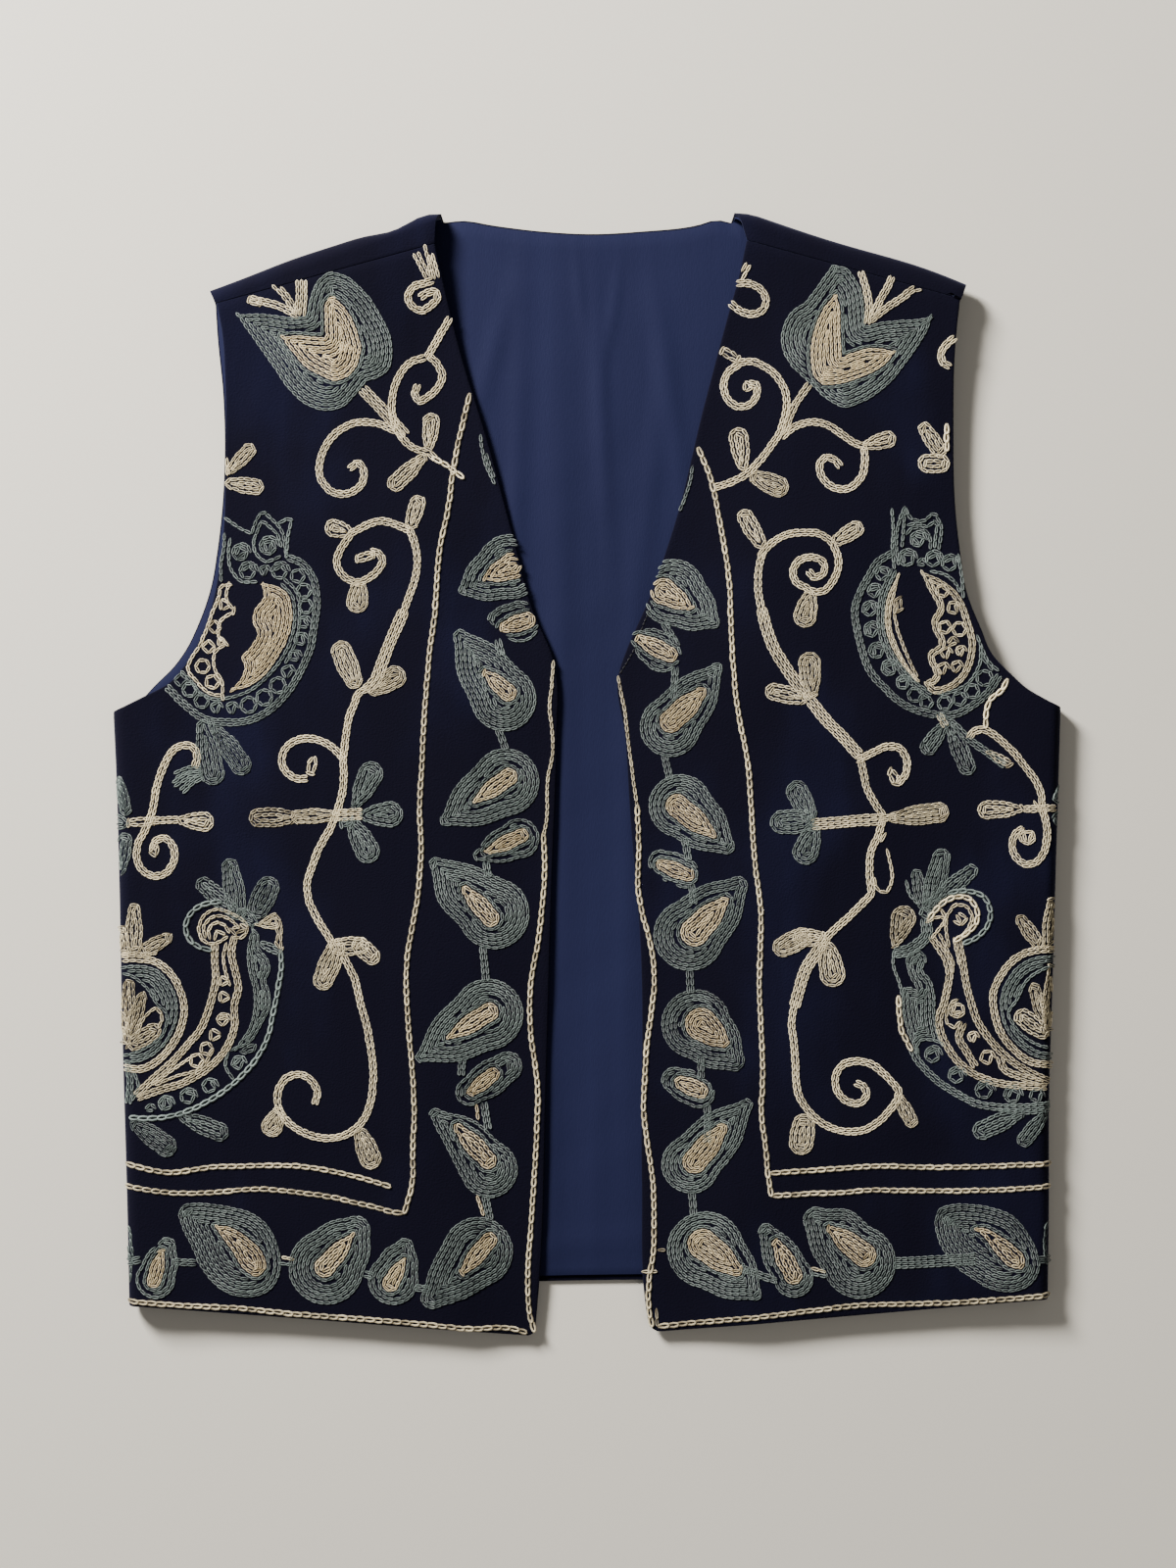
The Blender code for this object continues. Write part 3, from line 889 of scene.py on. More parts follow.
@dataclass
class Back:
    """The back, or its lining: the flat part and the shoulders carried over to their seams."""

    level: float = 0.0
    neck_in: float = 0.0
    armhole_in: float = 0.0
    hem_in: float = 0.0
    relief: Callable[[Array, Array], Array] | None = None
    lower_rows: int = 56
    upper_rows: int = 48
    shoulder_columns: int = 22
    neck_columns: int = 28
    roll_steps: int = 20
    run_steps: int = 6

    def outline(self, side: Side, part: Array) -> tuple[Array, Array]:
        """Find one side's edge: its lower rows follow the side seam, its upper the armhole.

        Args:
            side: the side.
            part: how far up each row is, 1 at the top of the side seam and 2 at the shoulder.

        Returns:
            The edge's x, outwards, and its y.
        """
        lower, upper = part[part <= 1], part[part > 1] - 1
        seam_top_y = side.back_armhole.first[0]
        low_y = blend(side.hem_seam_y + self.hem_in, seam_top_y, lower)
        high_y = blend(seam_top_y, side.shoulder()[0][1], upper ** ARMHOLE_CROWDING)
        low_x = side.side(low_y) - UNDER_WIDTH - GAP
        high_x = side.back_armhole(high_y) - self.armhole_in
        return np.concatenate([low_x, high_x]), np.concatenate([low_y, high_y])

    def neck_point(self, side: Side) -> Array:
        """Return where the neck edge meets the start of the shoulder's roll."""
        start, along = side.shoulder()[:2]
        return start + along * (np.linalg.norm(np.array(side.peak) - np.array(side.tip)) - self.neck_in)

    def flat(self) -> Array:
        """Return the flat part as a grid from side to side, with rows from hem to neck.

        Columns are spread so that one meets each shoulder's neck point on the last row, which
        follows the folds of the shoulders and the back of the neck. The rows between are
        straight lines that turn towards the neck's curve above and the hem's below.

        Returns:
            An array of rows, columns and the three coordinates.
        """
        part = np.concatenate([even(self.lower_rows), np.linspace(1, 2, self.upper_rows + 1)[1:]])
        right_x, right_y = self.outline(RIGHT_SIDE, part)
        left_x, left_y = self.outline(LEFT_SIDE, part)
        necks = np.array([self.neck_point(side)[0] * side.sign for side in SIDES])
        marks = (necks + right_x[-1]) / (left_x[-1] + right_x[-1])
        column = np.concatenate([np.linspace(0, marks[0], self.shoulder_columns + 1),
                                 np.linspace(marks[0], marks[1], self.neck_columns + 1)[1:],
                                 np.linspace(marks[1], 1, self.shoulder_columns + 1)[1:]])
        x = blend(-right_x[:, None], left_x[:, None], column)
        y = blend(right_y[:, None], left_y[:, None], column)
        top_y = BACK_NECK(x[-1]) - self.neck_in
        for side, picked in ((RIGHT_SIDE, slice(0, self.shoulder_columns + 1)),
                             (LEFT_SIDE, slice(-self.shoulder_columns - 1, None))):
            start, along = side.shoulder()[:2]
            top_y[picked] = start[1] + (x[-1, picked] * side.sign - start[0]) * along[1] / along[0]
        hem = BACK_HEM(x[0]) + self.hem_in
        above = np.clip(part - 1, 0, 1)[:, None] ** NECK_FOLLOW
        below = np.clip(1 - part, 0, 1)[:, None] ** HEM_FOLLOW
        y = y + above * (top_y - y[-1]) + below * (hem - y[0])
        z = np.full_like(x, self.level)
        if self.relief is not None:
            z = z + self.relief(x, y)
        return np.stack([x, y, z], axis=-1)

    def shoulder(self, side: Side, edge: Array) -> Array:
        """Return the shoulder carried over its roll to the forward seam, as rows after the edge.

        A half circle brings the cloth over, and it slides along the shoulder as it comes, so
        that the last row lies on the seam. Bell curves of the distance from the neck draw the
        circle in where the shoulder sags.

        Args:
            side: the side of the garment.
            edge: the points at the start of the roll, armhole to neck, x outwards.

        Returns:
            The rows, x outwards.
        """
        start, along, outward = side.shoulder()
        seam_tip, seam_neck = side.seam_ends()
        seam_neck = blend(seam_neck, seam_tip, self.neck_in / np.linalg.norm(seam_neck - seam_tip))
        part = np.linspace(0, 1, len(edge))[:, None]
        seam = blend(seam_tip, seam_neck, part) + outward * GAP
        slide = (seam - edge[:, :2]) @ along
        forward = -(seam - edge[:, :2]) @ outward
        radius = SHOULDER_ROLL - self.level
        from_neck = np.linalg.norm(edge[:, :2] - edge[-1, :2], axis=1)
        sag = sum(deep * bump(from_neck - place, wide) for deep, place, wide in side.sags)
        rows = []
        for angle in np.linspace(0, np.pi, self.roll_steps + 1)[1:]:
            slid = ROLL_SLIDE * max(0.0, angle / (np.pi / 2) - 1)
            reach = (radius - sag) * np.sin(angle)
            plan = edge[:, :2] + outward * reach[:, None] + along * (slide * slid)[:, None]
            height = np.full(len(edge), self.level + radius * (1 - np.cos(angle)))
            rows.append(np.column_stack([plan, height]))
        for run in even(self.run_steps)[1:]:
            slid = slide * blend(ROLL_SLIDE, 1, run)
            plan = edge[:, :2] - outward * (forward * run)[:, None] + along * slid[:, None]
            height = side.height(plan[:, 0], plan[:, 1]) - self.level
            rows.append(np.column_stack([plan, height]))
        return np.array(rows)

    def build(self, name: str, node: str, slot: str, thickness: float, rests_on: list,
              material: bpy.types.Material) -> bpy.types.Object:
        """Build the cloth as one wall.

        Args:
            name: the piece's name.
            node: the frame's node that it stands for.
            slot: the record's material slot; not used.
            thickness: the cloth's, in millimetres.
            rests_on: the names of what it lies on; not used.
            material: its finish.

        Returns:
            The object.
        """
        flat = self.flat()
        rows, columns = flat.shape[:2]
        flat_index = np.arange(rows * columns).reshape(rows, columns)
        points, quads = [flat.reshape(-1, 3)], [grid_quads(flat_index, True)]
        total = rows * columns
        width = self.shoulder_columns + 1
        edges = (flat[-1, :width], flat[-1, ::-1][:width])
        numbers = (flat_index[-1, :width], flat_index[-1, ::-1][:width])
        for side, edge, number in zip(SIDES, edges, numbers):
            over = self.shoulder(side, edge * (side.sign, 1, 1)) * (side.sign, 1, 1)
            index = total + np.arange(over.shape[0] * width).reshape(-1, width)
            total += index.size
            points.append(over.reshape(-1, 3))
            quads.append(grid_quads(np.concatenate([number[None], index]), side.sign < 0))
        piece = Piece(name, np.concatenate(points), np.concatenate(quads), (material,)).make((node,))
        walled(piece, thickness, rounding=THIN_ROUNDING)
        return piece


@dataclass(frozen=True)
class LiningRelief:
    """The lining's soft form: long faint folds down it and the turned edge at its neck."""

    folds: tuple = (
        Fold(-40, 120, 150, 6, 88, 0.85), Fold(-14, 60, 190, 8, 91, 0.75), Fold(8, 190, 70, 5, 93, 0.85),
        Fold(22, -40, 170, 7, 89, 0.65), Fold(-22, -150, 120, 6, 92, 0.65), Fold(44, 210, 60, 6, 98, 0.85),
        Fold(4, -210, 70, 8, 88, 0.55), Fold(-52, 225, 40, 5, 74, 0.75), Fold(-30, 262, 18, 2.2, 8, 0.75),
        Fold(-20, 255, 16, 2.2, -6, 0.60), Fold(34, 150, 60, 6, 84, 0.60), Fold(0, -255, 60, 7, 6, 0.50),
        Fold(27, 206, 22, 4, 86, -0.80), Fold(14, 250, 24, 3, 80, 0.60), Fold(-4, 262, 20, 3, 96, 0.50),
    )
    ripple: Ripple = Ripple(0.10, 44.0, 21)
    turn_depth: float = 16.5
    turn_rise: float = 0.35
    turn_softness: float = 0.5
    steepest: float = 40.0
    turn_reach: float = 70.0
    level_middle: float = 60.0
    edge_reach: float = 30.0

    def __call__(self, x: Array, y: Array) -> Array:
        """Find the relief: the folds, a ripple, and a soft step at the edge of the neck's turning.

        The folds and the ripple fade towards the sides, under the fronts, as a bell curve.

        Args:
            x: places to the left, in millimetres.
            y: places towards the neck.

        Returns:
            The heights over the lining's level, none below it.
        """
        height = np.zeros_like(x)
        for fold in self.folds:
            height = height + fold.at(x, y)
        from_turn = (BACK_NECK(x) - self.turn_depth - y) / self.turn_softness
        turning = self.turn_rise / (1 + np.exp(np.clip(from_turn, -self.steepest, self.steepest)))
        inside = bump(np.maximum(np.abs(x) - self.level_middle, 0), self.edge_reach)
        return np.maximum((height + self.ripple.at(x, y)) * inside, 0) + turning * bump(x, self.turn_reach)


@dataclass(frozen=True)
class ChainStitch:
    """A chain stitch: one link is a loop of thread, narrow where it leaves the link before.

    Sizes are in millimetres. The overlap is a link's length as a share of the pitch, the waist
    how much narrower its start is, and the rise how far its middle and its swing lift it, as
    shares of the strand's radius.
    """

    pitch: float
    width: float
    strand: float
    spacing: float
    overlap: float = 1.34
    around: int = 8
    sides: int = 3
    waist: float = 0.20
    rise: tuple = (0.45, 0.40)

    def link(self) -> tuple[Array, Array, Array]:
        """Make one link.

        The loop is an ellipse, narrower at its start, whose round end lies over the start of
        the next link. A strand with few sides is carried round it. Its tone carries painted shade
        and light: it rises with the cosine of the way round it, from painted shade at its start under
        the link before to a painted highlight at its round end.

        Returns:
            Its points, as rows of along, across and up, its quads and its points' painted shade and light.
        """
        angle = np.arange(self.around) * 2 * np.pi / self.around
        length = self.pitch * self.overlap / 2 - self.strand / 2
        narrowing = 1 - self.waist + self.waist * np.cos(angle)
        across = (self.width / 2 - self.strand) * np.sin(angle) * narrowing
        rise = self.strand * (self.rise[0] + self.rise[1] * np.cos(angle))
        middle = np.column_stack([length * np.cos(angle), across, rise])
        tangent = np.roll(middle, -1, axis=0) - np.roll(middle, 1, axis=0)
        sideways = np.column_stack([-tangent[:, 1], tangent[:, 0], np.zeros(self.around)])
        sideways /= np.linalg.norm(sideways, axis=1, keepdims=True)
        turn = (np.arange(self.sides) / self.sides * 2 * np.pi + np.pi / 2)[None, :, None]
        ring = np.cos(turn) * sideways[:, None] + np.sin(turn) * np.array([0, 0, 1.0])
        index = np.arange(self.around * self.sides).reshape(self.around, self.sides)
        index = np.concatenate([index, index[:1]])
        index = np.concatenate([index, index[:, :1]], axis=1)
        points = (middle[:, None] + self.strand * ring).reshape(-1, 3)
        return points, grid_quads(index, True), np.repeat(np.cos(angle), self.sides) * LINK_SHADING

    def laid(self, rows: list["Row"], side: Side, draw: np.random.Generator) -> "Links":
        """Lay rows of links on a front's face.

        Args:
            rows: the rows of stitches.
            side: the front that they are worked on.
            draw: the draws that make the links uneven.

        Returns:
            The links, none where no link lies on the front.
        """
        places, tangents, sizes, tones = [], [], [], []
        for row in rows:
            whole = lengths(row.path)[-1]
            count = max(1, int(round(whole / self.pitch)))
            at = (np.arange(count) + 0.5) * whole / count
            ahead, place, behind = (read_along(row.path, at + shift)
                                    for shift in (self.pitch / 3, 0, -self.pitch / 3))
            tangents.append(unit(ahead - behind))
            places.append(place)
            sizes.append(np.tile([whole / count / self.pitch, row.width], (count, 1)))
            tones.append(np.full(count, row.tone + draw.uniform(-ROW_TONE, ROW_TONE)))
        if not rows:
            return Links(np.zeros((0, 3)), np.zeros((0, 4), int), np.zeros(0))
        place, tangent, size = (np.concatenate(part) for part in (places, tangents, sizes))
        tone = np.concatenate(tones) + draw.normal(0, SINGLE_TONE, len(place))
        kept = side.covers(place, self.width * EDGE_SHARE)
        place, tangent, size, tone = place[kept], tangent[kept], size[kept], tone[kept]
        size = size * draw.normal(1, UNEVEN_SIZE, size.shape)
        place = place + draw.normal(0, UNEVEN_PLACE, place.shape)
        # shade holds each point's painted shade and light along its link.
        template, quads, shade = self.link()
        sideways = to_left(tangent)
        plan = (place[:, None] + template[None, :, :1] * (tangent * size[:, :1])[:, None]
                + template[None, :, 1:2] * (sideways * size[:, 1:])[:, None])
        up = np.broadcast_to(template[None, :, 2], plan.shape[:2])
        points = side.lifted(plan, up).reshape(-1, 3)
        shift = np.arange(len(place))[:, None, None] * len(template)
        return Links(points, (quads[None] + shift).reshape(-1, 4), (tone[:, None] + shade).reshape(-1))


@dataclass(frozen=True)
class Links:
    """Links of stitches as a mesh: points, quads and each point's tone, with its painted shade and light."""

    points: Array
    quads: Array
    tone: Array


FILL = ChainStitch(pitch=3.7, width=2.35, strand=0.37, spacing=2.3)
LINE = ChainStitch(pitch=4.9, width=3.6, strand=0.55, spacing=3.5, around=9, sides=4)
SEAM = ChainStitch(pitch=2.6, width=0.9, strand=0.24, spacing=1.0, overlap=0.86, around=6)
STITCHES = (FILL, LINE, SEAM)

# How tones and places vary: along a link as painted shade and light, and at random from link to link,
# row to row and motif to motif.
LINK_SHADING = 0.26
SINGLE_TONE, ROW_TONE, MOTIF_TONE = 0.10, 0.10, 0.11
UNEVEN_SIZE, UNEVEN_PLACE = 0.05, 0.08

# Rows in a form, as shares of their spacing: how near they may come to an edge, a hole or each
# other, the widest they get, and how much narrower than that a row is, so that velvet shows.
EDGE_SHARE = 0.25
OVERLAP_SHARE = 0.42
HOLE_SHARE = 1.15
RIM_SHARE, RIM_HOLE_SHARE = 0.6, 0.4
JOIN_SHARE = 1.6
WIDEST_SHARE = 1.25
FILL_SHARE = 0.91
SHORTEST_SHARE = 0.6

# The steps of paths in millimetres, of corners in radians, and of the arcs of buds and coils.
PATH_STEP = 0.7
FEWEST_STEPS = 8
CORNER_STEP = 0.12
ARC_STEPS, SIDE_STEPS, COIL_STEPS = 30, 16, 40


@dataclass(frozen=True)
class Row:
    """One row of stitches: its thread and path in the plan, its stitch, share of width and tone."""

    thread: Thread
    path: Array
    stitch: ChainStitch = FILL
    width: float = 1.0
    tone: float = 0.5


def smooth_path(points: Array) -> Array:
    """Draw a path through points of the plan, by cubic pieces over their chord lengths.

    Args:
        points: the points, as rows of X and Y.

    Returns:
        The path, with even steps.
    """
    if len(points) == 2:
        return resampled(points)
    run = lengths(points)
    at = np.linspace(run[0], run[-1], max(FEWEST_STEPS, int(run[-1] / PATH_STEP)))
    return np.column_stack([Curve(tuple(zip(run, points[:, axis])))(at) for axis in range(2)])


def beside(path: Array, shift: float) -> Array:
    """Return a path moved sideways by a distance along its normals."""
    return path + to_left(unit(np.gradient(path, axis=0))) * shift


def gap_to(outline: Array, points: Array) -> Array:
    """Measure how far points are from a closed outline, the least distance over its edges.

    Args:
        outline: the outline.
        points: the points.

    Returns:
        A distance for each point.
    """
    edge = np.roll(outline, -1, axis=0) - outline
    size = (edge ** 2).sum(axis=1) + TINIEST
    away = points[:, None] - outline[None]
    part = np.clip((away * edge).sum(axis=2) / size, 0, 1)
    return np.linalg.norm(away - part[..., None] * edge, axis=2).min(axis=1)


def within(outline: Array, points: Array) -> Array:
    """Tell which points lie in a closed outline, by counting the edges that a ray crosses.

    Args:
        outline: the outline.
        points: the points.

    Returns:
        True for each point that does.
    """
    first, last = outline, np.roll(outline, -1, axis=0)
    above = (first[None, :, 1] > points[:, None, 1]) != (last[None, :, 1] > points[:, None, 1])
    rise = last[:, 1] - first[:, 1]
    slope = (last[:, 0] - first[:, 0]) / np.where(np.abs(rise) < TINIEST, TINIEST, rise)
    crossing = first[None, :, 0] + (points[:, None, 1] - first[None, :, 1]) * slope
    return (above & (points[:, None, 0] < crossing)).sum(axis=1) % 2 == 1


def depth_of(outline: Array, tries: int = 26) -> float:
    """Measure how deep a closed outline is: the largest distance to it from a grid in it.

    Args:
        outline: the outline.
        tries: the points along each side of the grid.

    Returns:
        The depth, or half a row's spacing for a form too thin for the grid.
    """
    low, high = outline.min(axis=0), outline.max(axis=0)
    grid = np.meshgrid(*(np.linspace(low[axis], high[axis], tries) for axis in range(2)))
    grid = np.stack(grid, axis=-1).reshape(-1, 2)
    inside = grid[within(outline, grid)]
    return float(gap_to(outline, inside).max()) if len(inside) else FILL.spacing / 2


def moved_in(outline: Array, deep: float) -> Array:
    """Return the points of a closed outline moved in along its normals, or out if deep is negative.

    A step over which the normal turns is cut into parts, one for each small share of the turn,
    whose places and normals' angles go evenly from its start to its end. So a corner that
    points inwards gets an arc round it.

    Args:
        outline: the closed outline, in the plan.
        deep: how far to move it, in millimetres.

    Returns:
        The moved points, which cross where the outline's own corners point outwards.
    """
    outline = resampled(np.concatenate([outline, outline[:1]]))[:-1]
    ring = np.concatenate([outline[-1:], outline, outline[:1]])
    normal = to_left(unit(np.gradient(ring, axis=0)))[1:-1]
    following = np.roll(outline, -1, axis=0)
    area = (outline[:, 0] * following[:, 1] - following[:, 0] * outline[:, 1]).sum()
    angle = np.arctan2(normal[:, 1], normal[:, 0])
    turn = (np.roll(angle, -1) - angle + np.pi) % (2 * np.pi) - np.pi
    parts = 1 + (np.abs(turn) / CORNER_STEP).astype(int)
    index = np.repeat(np.arange(len(outline)), parts)
    part = (np.arange(len(index)) - (np.cumsum(parts) - parts)[index]) / parts[index]
    place = blend(outline[index], following[index], part[:, None])
    angle = angle[index] + turn[index] * part
    return place + np.sign(area) * deep * np.column_stack([np.cos(angle), np.sin(angle)])


def filling(outline: Array, thread: Thread, hole: Array | None = None, most: int = 40) -> list[Row]:
    """Fill a closed outline with rows that follow it inwards.

    Each row is the outline moved in. Where it would cross itself it is cut back. Without a hole
    the rows are spread so that the last one closes on the form's middle; with one, a row goes
    round the hole and the others stop beside it. Their width goes with their spacing, a little
    less of it than its whole.

    Args:
        outline: the closed outline, in the plan.
        thread: the thread of the rows.
        hole: an outline that is left free.
        most: the most rows that are worked.

    Returns:
        The rows, outermost first.
    """
    depth = depth_of(outline)
    count = max(1, int(round(depth / FILL.spacing)))
    spacing = FILL.spacing if hole is not None else depth / count
    rings = []
    for number in range(min(most, count + 1)):
        deep = (number + 0.5) * spacing
        moved = moved_in(outline, deep)
        kept = (gap_to(outline, moved) > deep - spacing * OVERLAP_SHARE) & within(outline, moved)
        if hole is not None:
            kept &= ~within(hole, moved) & (gap_to(hole, moved) > spacing * HOLE_SHARE)
        rings.append((moved, kept))
    if hole is not None:
        moved = moved_in(hole, -spacing / 2)
        kept = within(outline, moved) & (gap_to(outline, moved) > spacing * RIM_SHARE)
        rings.append((moved, kept & (gap_to(hole, moved) > spacing * RIM_HOLE_SHARE)))
    width = min(spacing / FILL.spacing, WIDEST_SHARE) * FILL_SHARE
    return [Row(thread, run, FILL, width) for moved, kept in rings for run in runs_of(moved, kept)]


def runs_of(points: Array, kept: Array) -> list[Array]:
    """Split a closed ring of points into the runs that are kept, joined across small gaps.

    Args:
        points: the ring.
        kept: which of its points are kept.

    Returns:
        The runs that are long enough for a link, with even steps.
    """
    if kept.sum() < 2:
        return []
    start = 0 if kept.all() else int(np.argmin(kept))
    points, kept = np.roll(points, -start, axis=0), np.roll(kept, -start)
    if kept.all():
        points, kept = np.concatenate([points, points[:1]]), np.append(kept, True)
    chosen = points[kept]
    steps = np.linalg.norm(np.diff(chosen, axis=0), axis=1)
    cuts = np.nonzero(steps > FILL.spacing * JOIN_SHARE)[0] + 1
    runs = [run for run in np.split(chosen, cuts) if len(run) > 1]
    return [resampled(run) for run in runs if lengths(run)[-1] > FILL.pitch * SHORTEST_SHARE]


def club(first: tuple, last: tuple, bulge: tuple) -> Array:
    """Return the outline round two circles: an arc of each and two sides that touch both.

    A side touches them where the angle from the way to the last circle has the cosine of the
    difference of their radii over the distance of their middles. It swells outwards by the
    square of 4 p (1 - p) at the part p of its length.

    Args:
        first: a circle's place and radius, in pixels of the photograph.
        last: the other circle's.
        bulge: how far each side swells, as shares of its length, the left one's first.

    Returns:
        The outline in the plan.
    """
    start, end = PHOTO.plan(first[:2])[0], PHOTO.plan(last[:2])[0]
    radii = np.array([first[2], last[2]]) * PHOTO.pixel
    away = end - start
    heading = np.arctan2(away[1], away[0])
    touch = np.arccos(np.clip((radii[0] - radii[1]) / (np.linalg.norm(away) + TINY), -1, 1))
    over = heading + np.linspace(-touch, touch, ARC_STEPS)
    back = heading + np.linspace(touch, 2 * np.pi - touch, ARC_STEPS)
    over = end + radii[1] * np.column_stack([np.cos(over), np.sin(over)])
    back = start + radii[0] * np.column_stack([np.cos(back), np.sin(back)])
    part = np.linspace(0, 1, SIDE_STEPS)[1:-1, None]
    sides = []
    for low, high, share in ((over[-1], back[0], bulge[0]), (back[-1], over[0], bulge[1])):
        outwards = np.array([high[1] - low[1], low[0] - high[0]]) * share
        sides.append(blend(low, high, part) + (4 * part * (1 - part)) ** 2 * outwards)
    return np.concatenate([over, sides[0], back, sides[1]])


@dataclass(frozen=True)
class Stem:
    """A stem or scroll: rows side by side through places of the photograph."""

    places: tuple
    rows: int = 2
    thread: Thread = Thread.CREAM
    stitch: ChainStitch = FILL

    def worked(self) -> list[Row]:
        """Work the stem's rows, each the middle path moved sideways.

        Returns:
            The rows.
        """
        path = smooth_path(PHOTO.plan(self.places))
        shifts = (np.arange(self.rows) - (self.rows - 1) / 2) * self.stitch.spacing
        return [Row(self.thread, beside(path, shift), self.stitch) for shift in shifts]


@dataclass(frozen=True)
class Line(Stem):
    """A single row of the bolder stitch."""

    rows: int = 1
    stitch: ChainStitch = LINE


@dataclass(frozen=True)
class Club:
    """A bud or petal round two circles, each x, y and radius, filled with rows of its own tone."""

    first: tuple
    last: tuple
    thread: Thread = Thread.CREAM
    bulge: tuple = (0.05, 0.05)
    tone: float = 0.30

    def worked(self) -> list[Row]:
        """Return the rows that fill it, in its own tone."""
        rows = filling(club(self.first, self.last, self.bulge), self.thread)
        return [replace(row, tone=self.tone) for row in rows]


EVEN_BULGE = (0.08, 0.08)


@dataclass(frozen=True)
class Leaf:
    """A leaf of the border: teal rows round a drop, and a straw-coloured core of the same form."""

    tip: tuple
    main: tuple
    core_tip: tuple
    core: tuple
    bulge: tuple = EVEN_BULGE
    core_bulge: tuple = (0.07, 0.07)

    def worked(self) -> list[Row]:
        """Work the rows that follow the leaf's outline round its core, and the core's.

        Returns:
            The rows.
        """
        core = club(self.core_tip, self.core, self.core_bulge)
        round_it = filling(club(self.tip, self.main, self.bulge), Thread.TEAL, hole=core)
        return round_it + filling(core, Thread.STRAW)


@dataclass(frozen=True)
class Coil:
    """A small round of stitches: a spiral from its rim to its middle, or to a hole there.

    The place is x, y and radius, and the hole a radius, in pixels; the start is in degrees.
    """

    place: tuple
    thread: Thread = Thread.TEAL
    hole: float = 0.0
    start: float = 0.0

    def worked(self) -> list[Row]:
        """Work the spiral, whose radius falls by one row's spacing in each turn.

        Returns:
            Its one row.
        """
        x, y, radius = self.place
        rim = radius * PHOTO.pixel - FILL.spacing / 2
        inner = self.hole * PHOTO.pixel
        turns = max(1.0, (rim - inner) / FILL.spacing)
        angle = np.linspace(0, turns * 2 * np.pi, int(turns * COIL_STEPS) + FEWEST_STEPS)
        away = rim - (rim - inner) * angle / angle[-1] * (turns > 1)
        turned = angle + np.radians(self.start)
        path = PHOTO.plan((x, y)) + away[:, None] * np.column_stack([np.cos(turned), np.sin(turned)])
        return [Row(self.thread, resampled(path))]


@dataclass(frozen=True)
class Patch:
    """A filled form whose outline is arcs that meet at corners, with at most so many rows."""

    arcs: tuple
    thread: Thread = Thread.TEAL
    hole: "Patch | None" = None
    most: int = 40

    def outline(self) -> Array:
        """Return the outline, each arc a smooth path through its places."""
        return np.concatenate([smooth_path(PHOTO.plan(arc))[:-1] for arc in self.arcs])

    def worked(self) -> list[Row]:
        """Return the rows that fill it, round its hole if it has one."""
        hole = None if self.hole is None else self.hole.outline()
        return filling(self.outline(), self.thread, hole, self.most)


def stems(rows: int, thread: Thread, *paths: tuple) -> tuple:
    """Return a stem of so many rows along each path."""
    return tuple(Stem(path, rows, thread) for path in paths)


def lines(thread: Thread, *paths: tuple) -> tuple:
    """Return a line along each path."""
    return tuple(Line(path, thread=thread) for path in paths)


def clubs(thread: Thread, *rows: tuple) -> tuple:
    """Return a bud or petal for each row: x, y and radius of its first circle and of its last."""
    return tuple(Club(row[:3], row[3:], thread) for row in rows)


def coils(thread: Thread, *rows: tuple) -> tuple:
    """Return a coil for each row: x, y, radius, and its hole and its start where it has them."""
    return tuple(Coil(row[:3], thread, *row[3:]) for row in rows)


def leaves(*rows: tuple) -> tuple:
    """Make leaves of the border.

    Args:
        rows: x, y and radius at a leaf's tip, its body, its core's tip and its core, and then
            how far each side swells, where they don't swell as the others do.

    Returns:
        A leaf for each row.
    """
    return tuple(Leaf(row[:3], row[3:6], row[6:9], row[9:12], row[12:] or EVEN_BULGE) for row in rows)


@dataclass
class Embroidery:
    """The stitches worked on one front: its motifs, by the names of their pieces."""

    side: Side
    motifs: dict
    materials: dict
    seed: int

    def rows(self, motifs: tuple, lift: float, draw: np.random.Generator) -> list[Row]:
        """Work a group's motifs, each in a tone of its own.

        Args:
            motifs: the motifs.
            lift: how much lighter the whole group is.
            draw: the draws that make the tones uneven.

        Returns:
            The rows.
        """
        rows = []
        for motif in motifs:
            shift = lift + draw.uniform(-MOTIF_TONE, MOTIF_TONE)
            rows.extend(replace(row, tone=row.tone + shift) for row in motif.worked())
        return rows

    def build(self) -> None:
        """Work each group of motifs as a piece for each thread."""
        for number, (name, motifs) in enumerate(self.motifs.items()):
            draw = np.random.default_rng(self.seed + number)
            rows = self.rows(motifs, GROUP_LIFT.get(name, 0.0), draw)
            for thread in Thread:
                laid = [stitch.laid([row for row in rows if row.thread is thread and row.stitch == stitch],
                                    self.side, draw) for stitch in STITCHES]
                before = np.cumsum([0] + [len(links.points) for links in laid])
                if not before[-1]:
                    continue
                slot, shade = thread.value
                piece = Piece(f"{name}_{self.side.name}_{shade}",
                              np.concatenate([links.points for links in laid]),
                              np.concatenate([links.quads + shift for links, shift in zip(laid, before)]),
                              (self.materials[thread],), np.concatenate([links.tone for links in laid]))
                piece.make()


CREAM, STRAW, TEAL, NAVY = Thread

# How much lighter or darker a group's thread is than the usual tone.
GROUP_LIFT = {"leaf_border": -0.08, "tulip": 0.13, "upper_vine": 0.28, "middle_vine": 0.26,
              "side_vine": 0.24, "edge_lines": -0.17, "bird": 0.08, "round_flower": 0.04}

# Places in the photograph, in its pixels. The image's left half shows the wearer's right front.
RIGHT_TULIP_CORE = Patch(((287, 344.4, 301.4, 342.5, 318, 343.7, 332, 344.4), (332, 344.4, 331.4, 326.5,
    332, 311, 338.4, 303), (338.4, 303, 350, 311, 362.6, 331.6, 369.6, 354.6), (369.6, 354.6, 364, 375,
    352.4, 386.4, 342, 389.6, 327, 384, 311.6, 375, 299, 361, 287, 344.4)), STRAW)
RIGHT_PALMETTE = Patch(((100, 1004, 130, 996, 146, 1006, 160, 1026, 168, 1034, 166, 1052, 150, 1066,
    130, 1074, 100, 1074), (100, 1074, 100, 1040, 100, 1004)), STRAW)

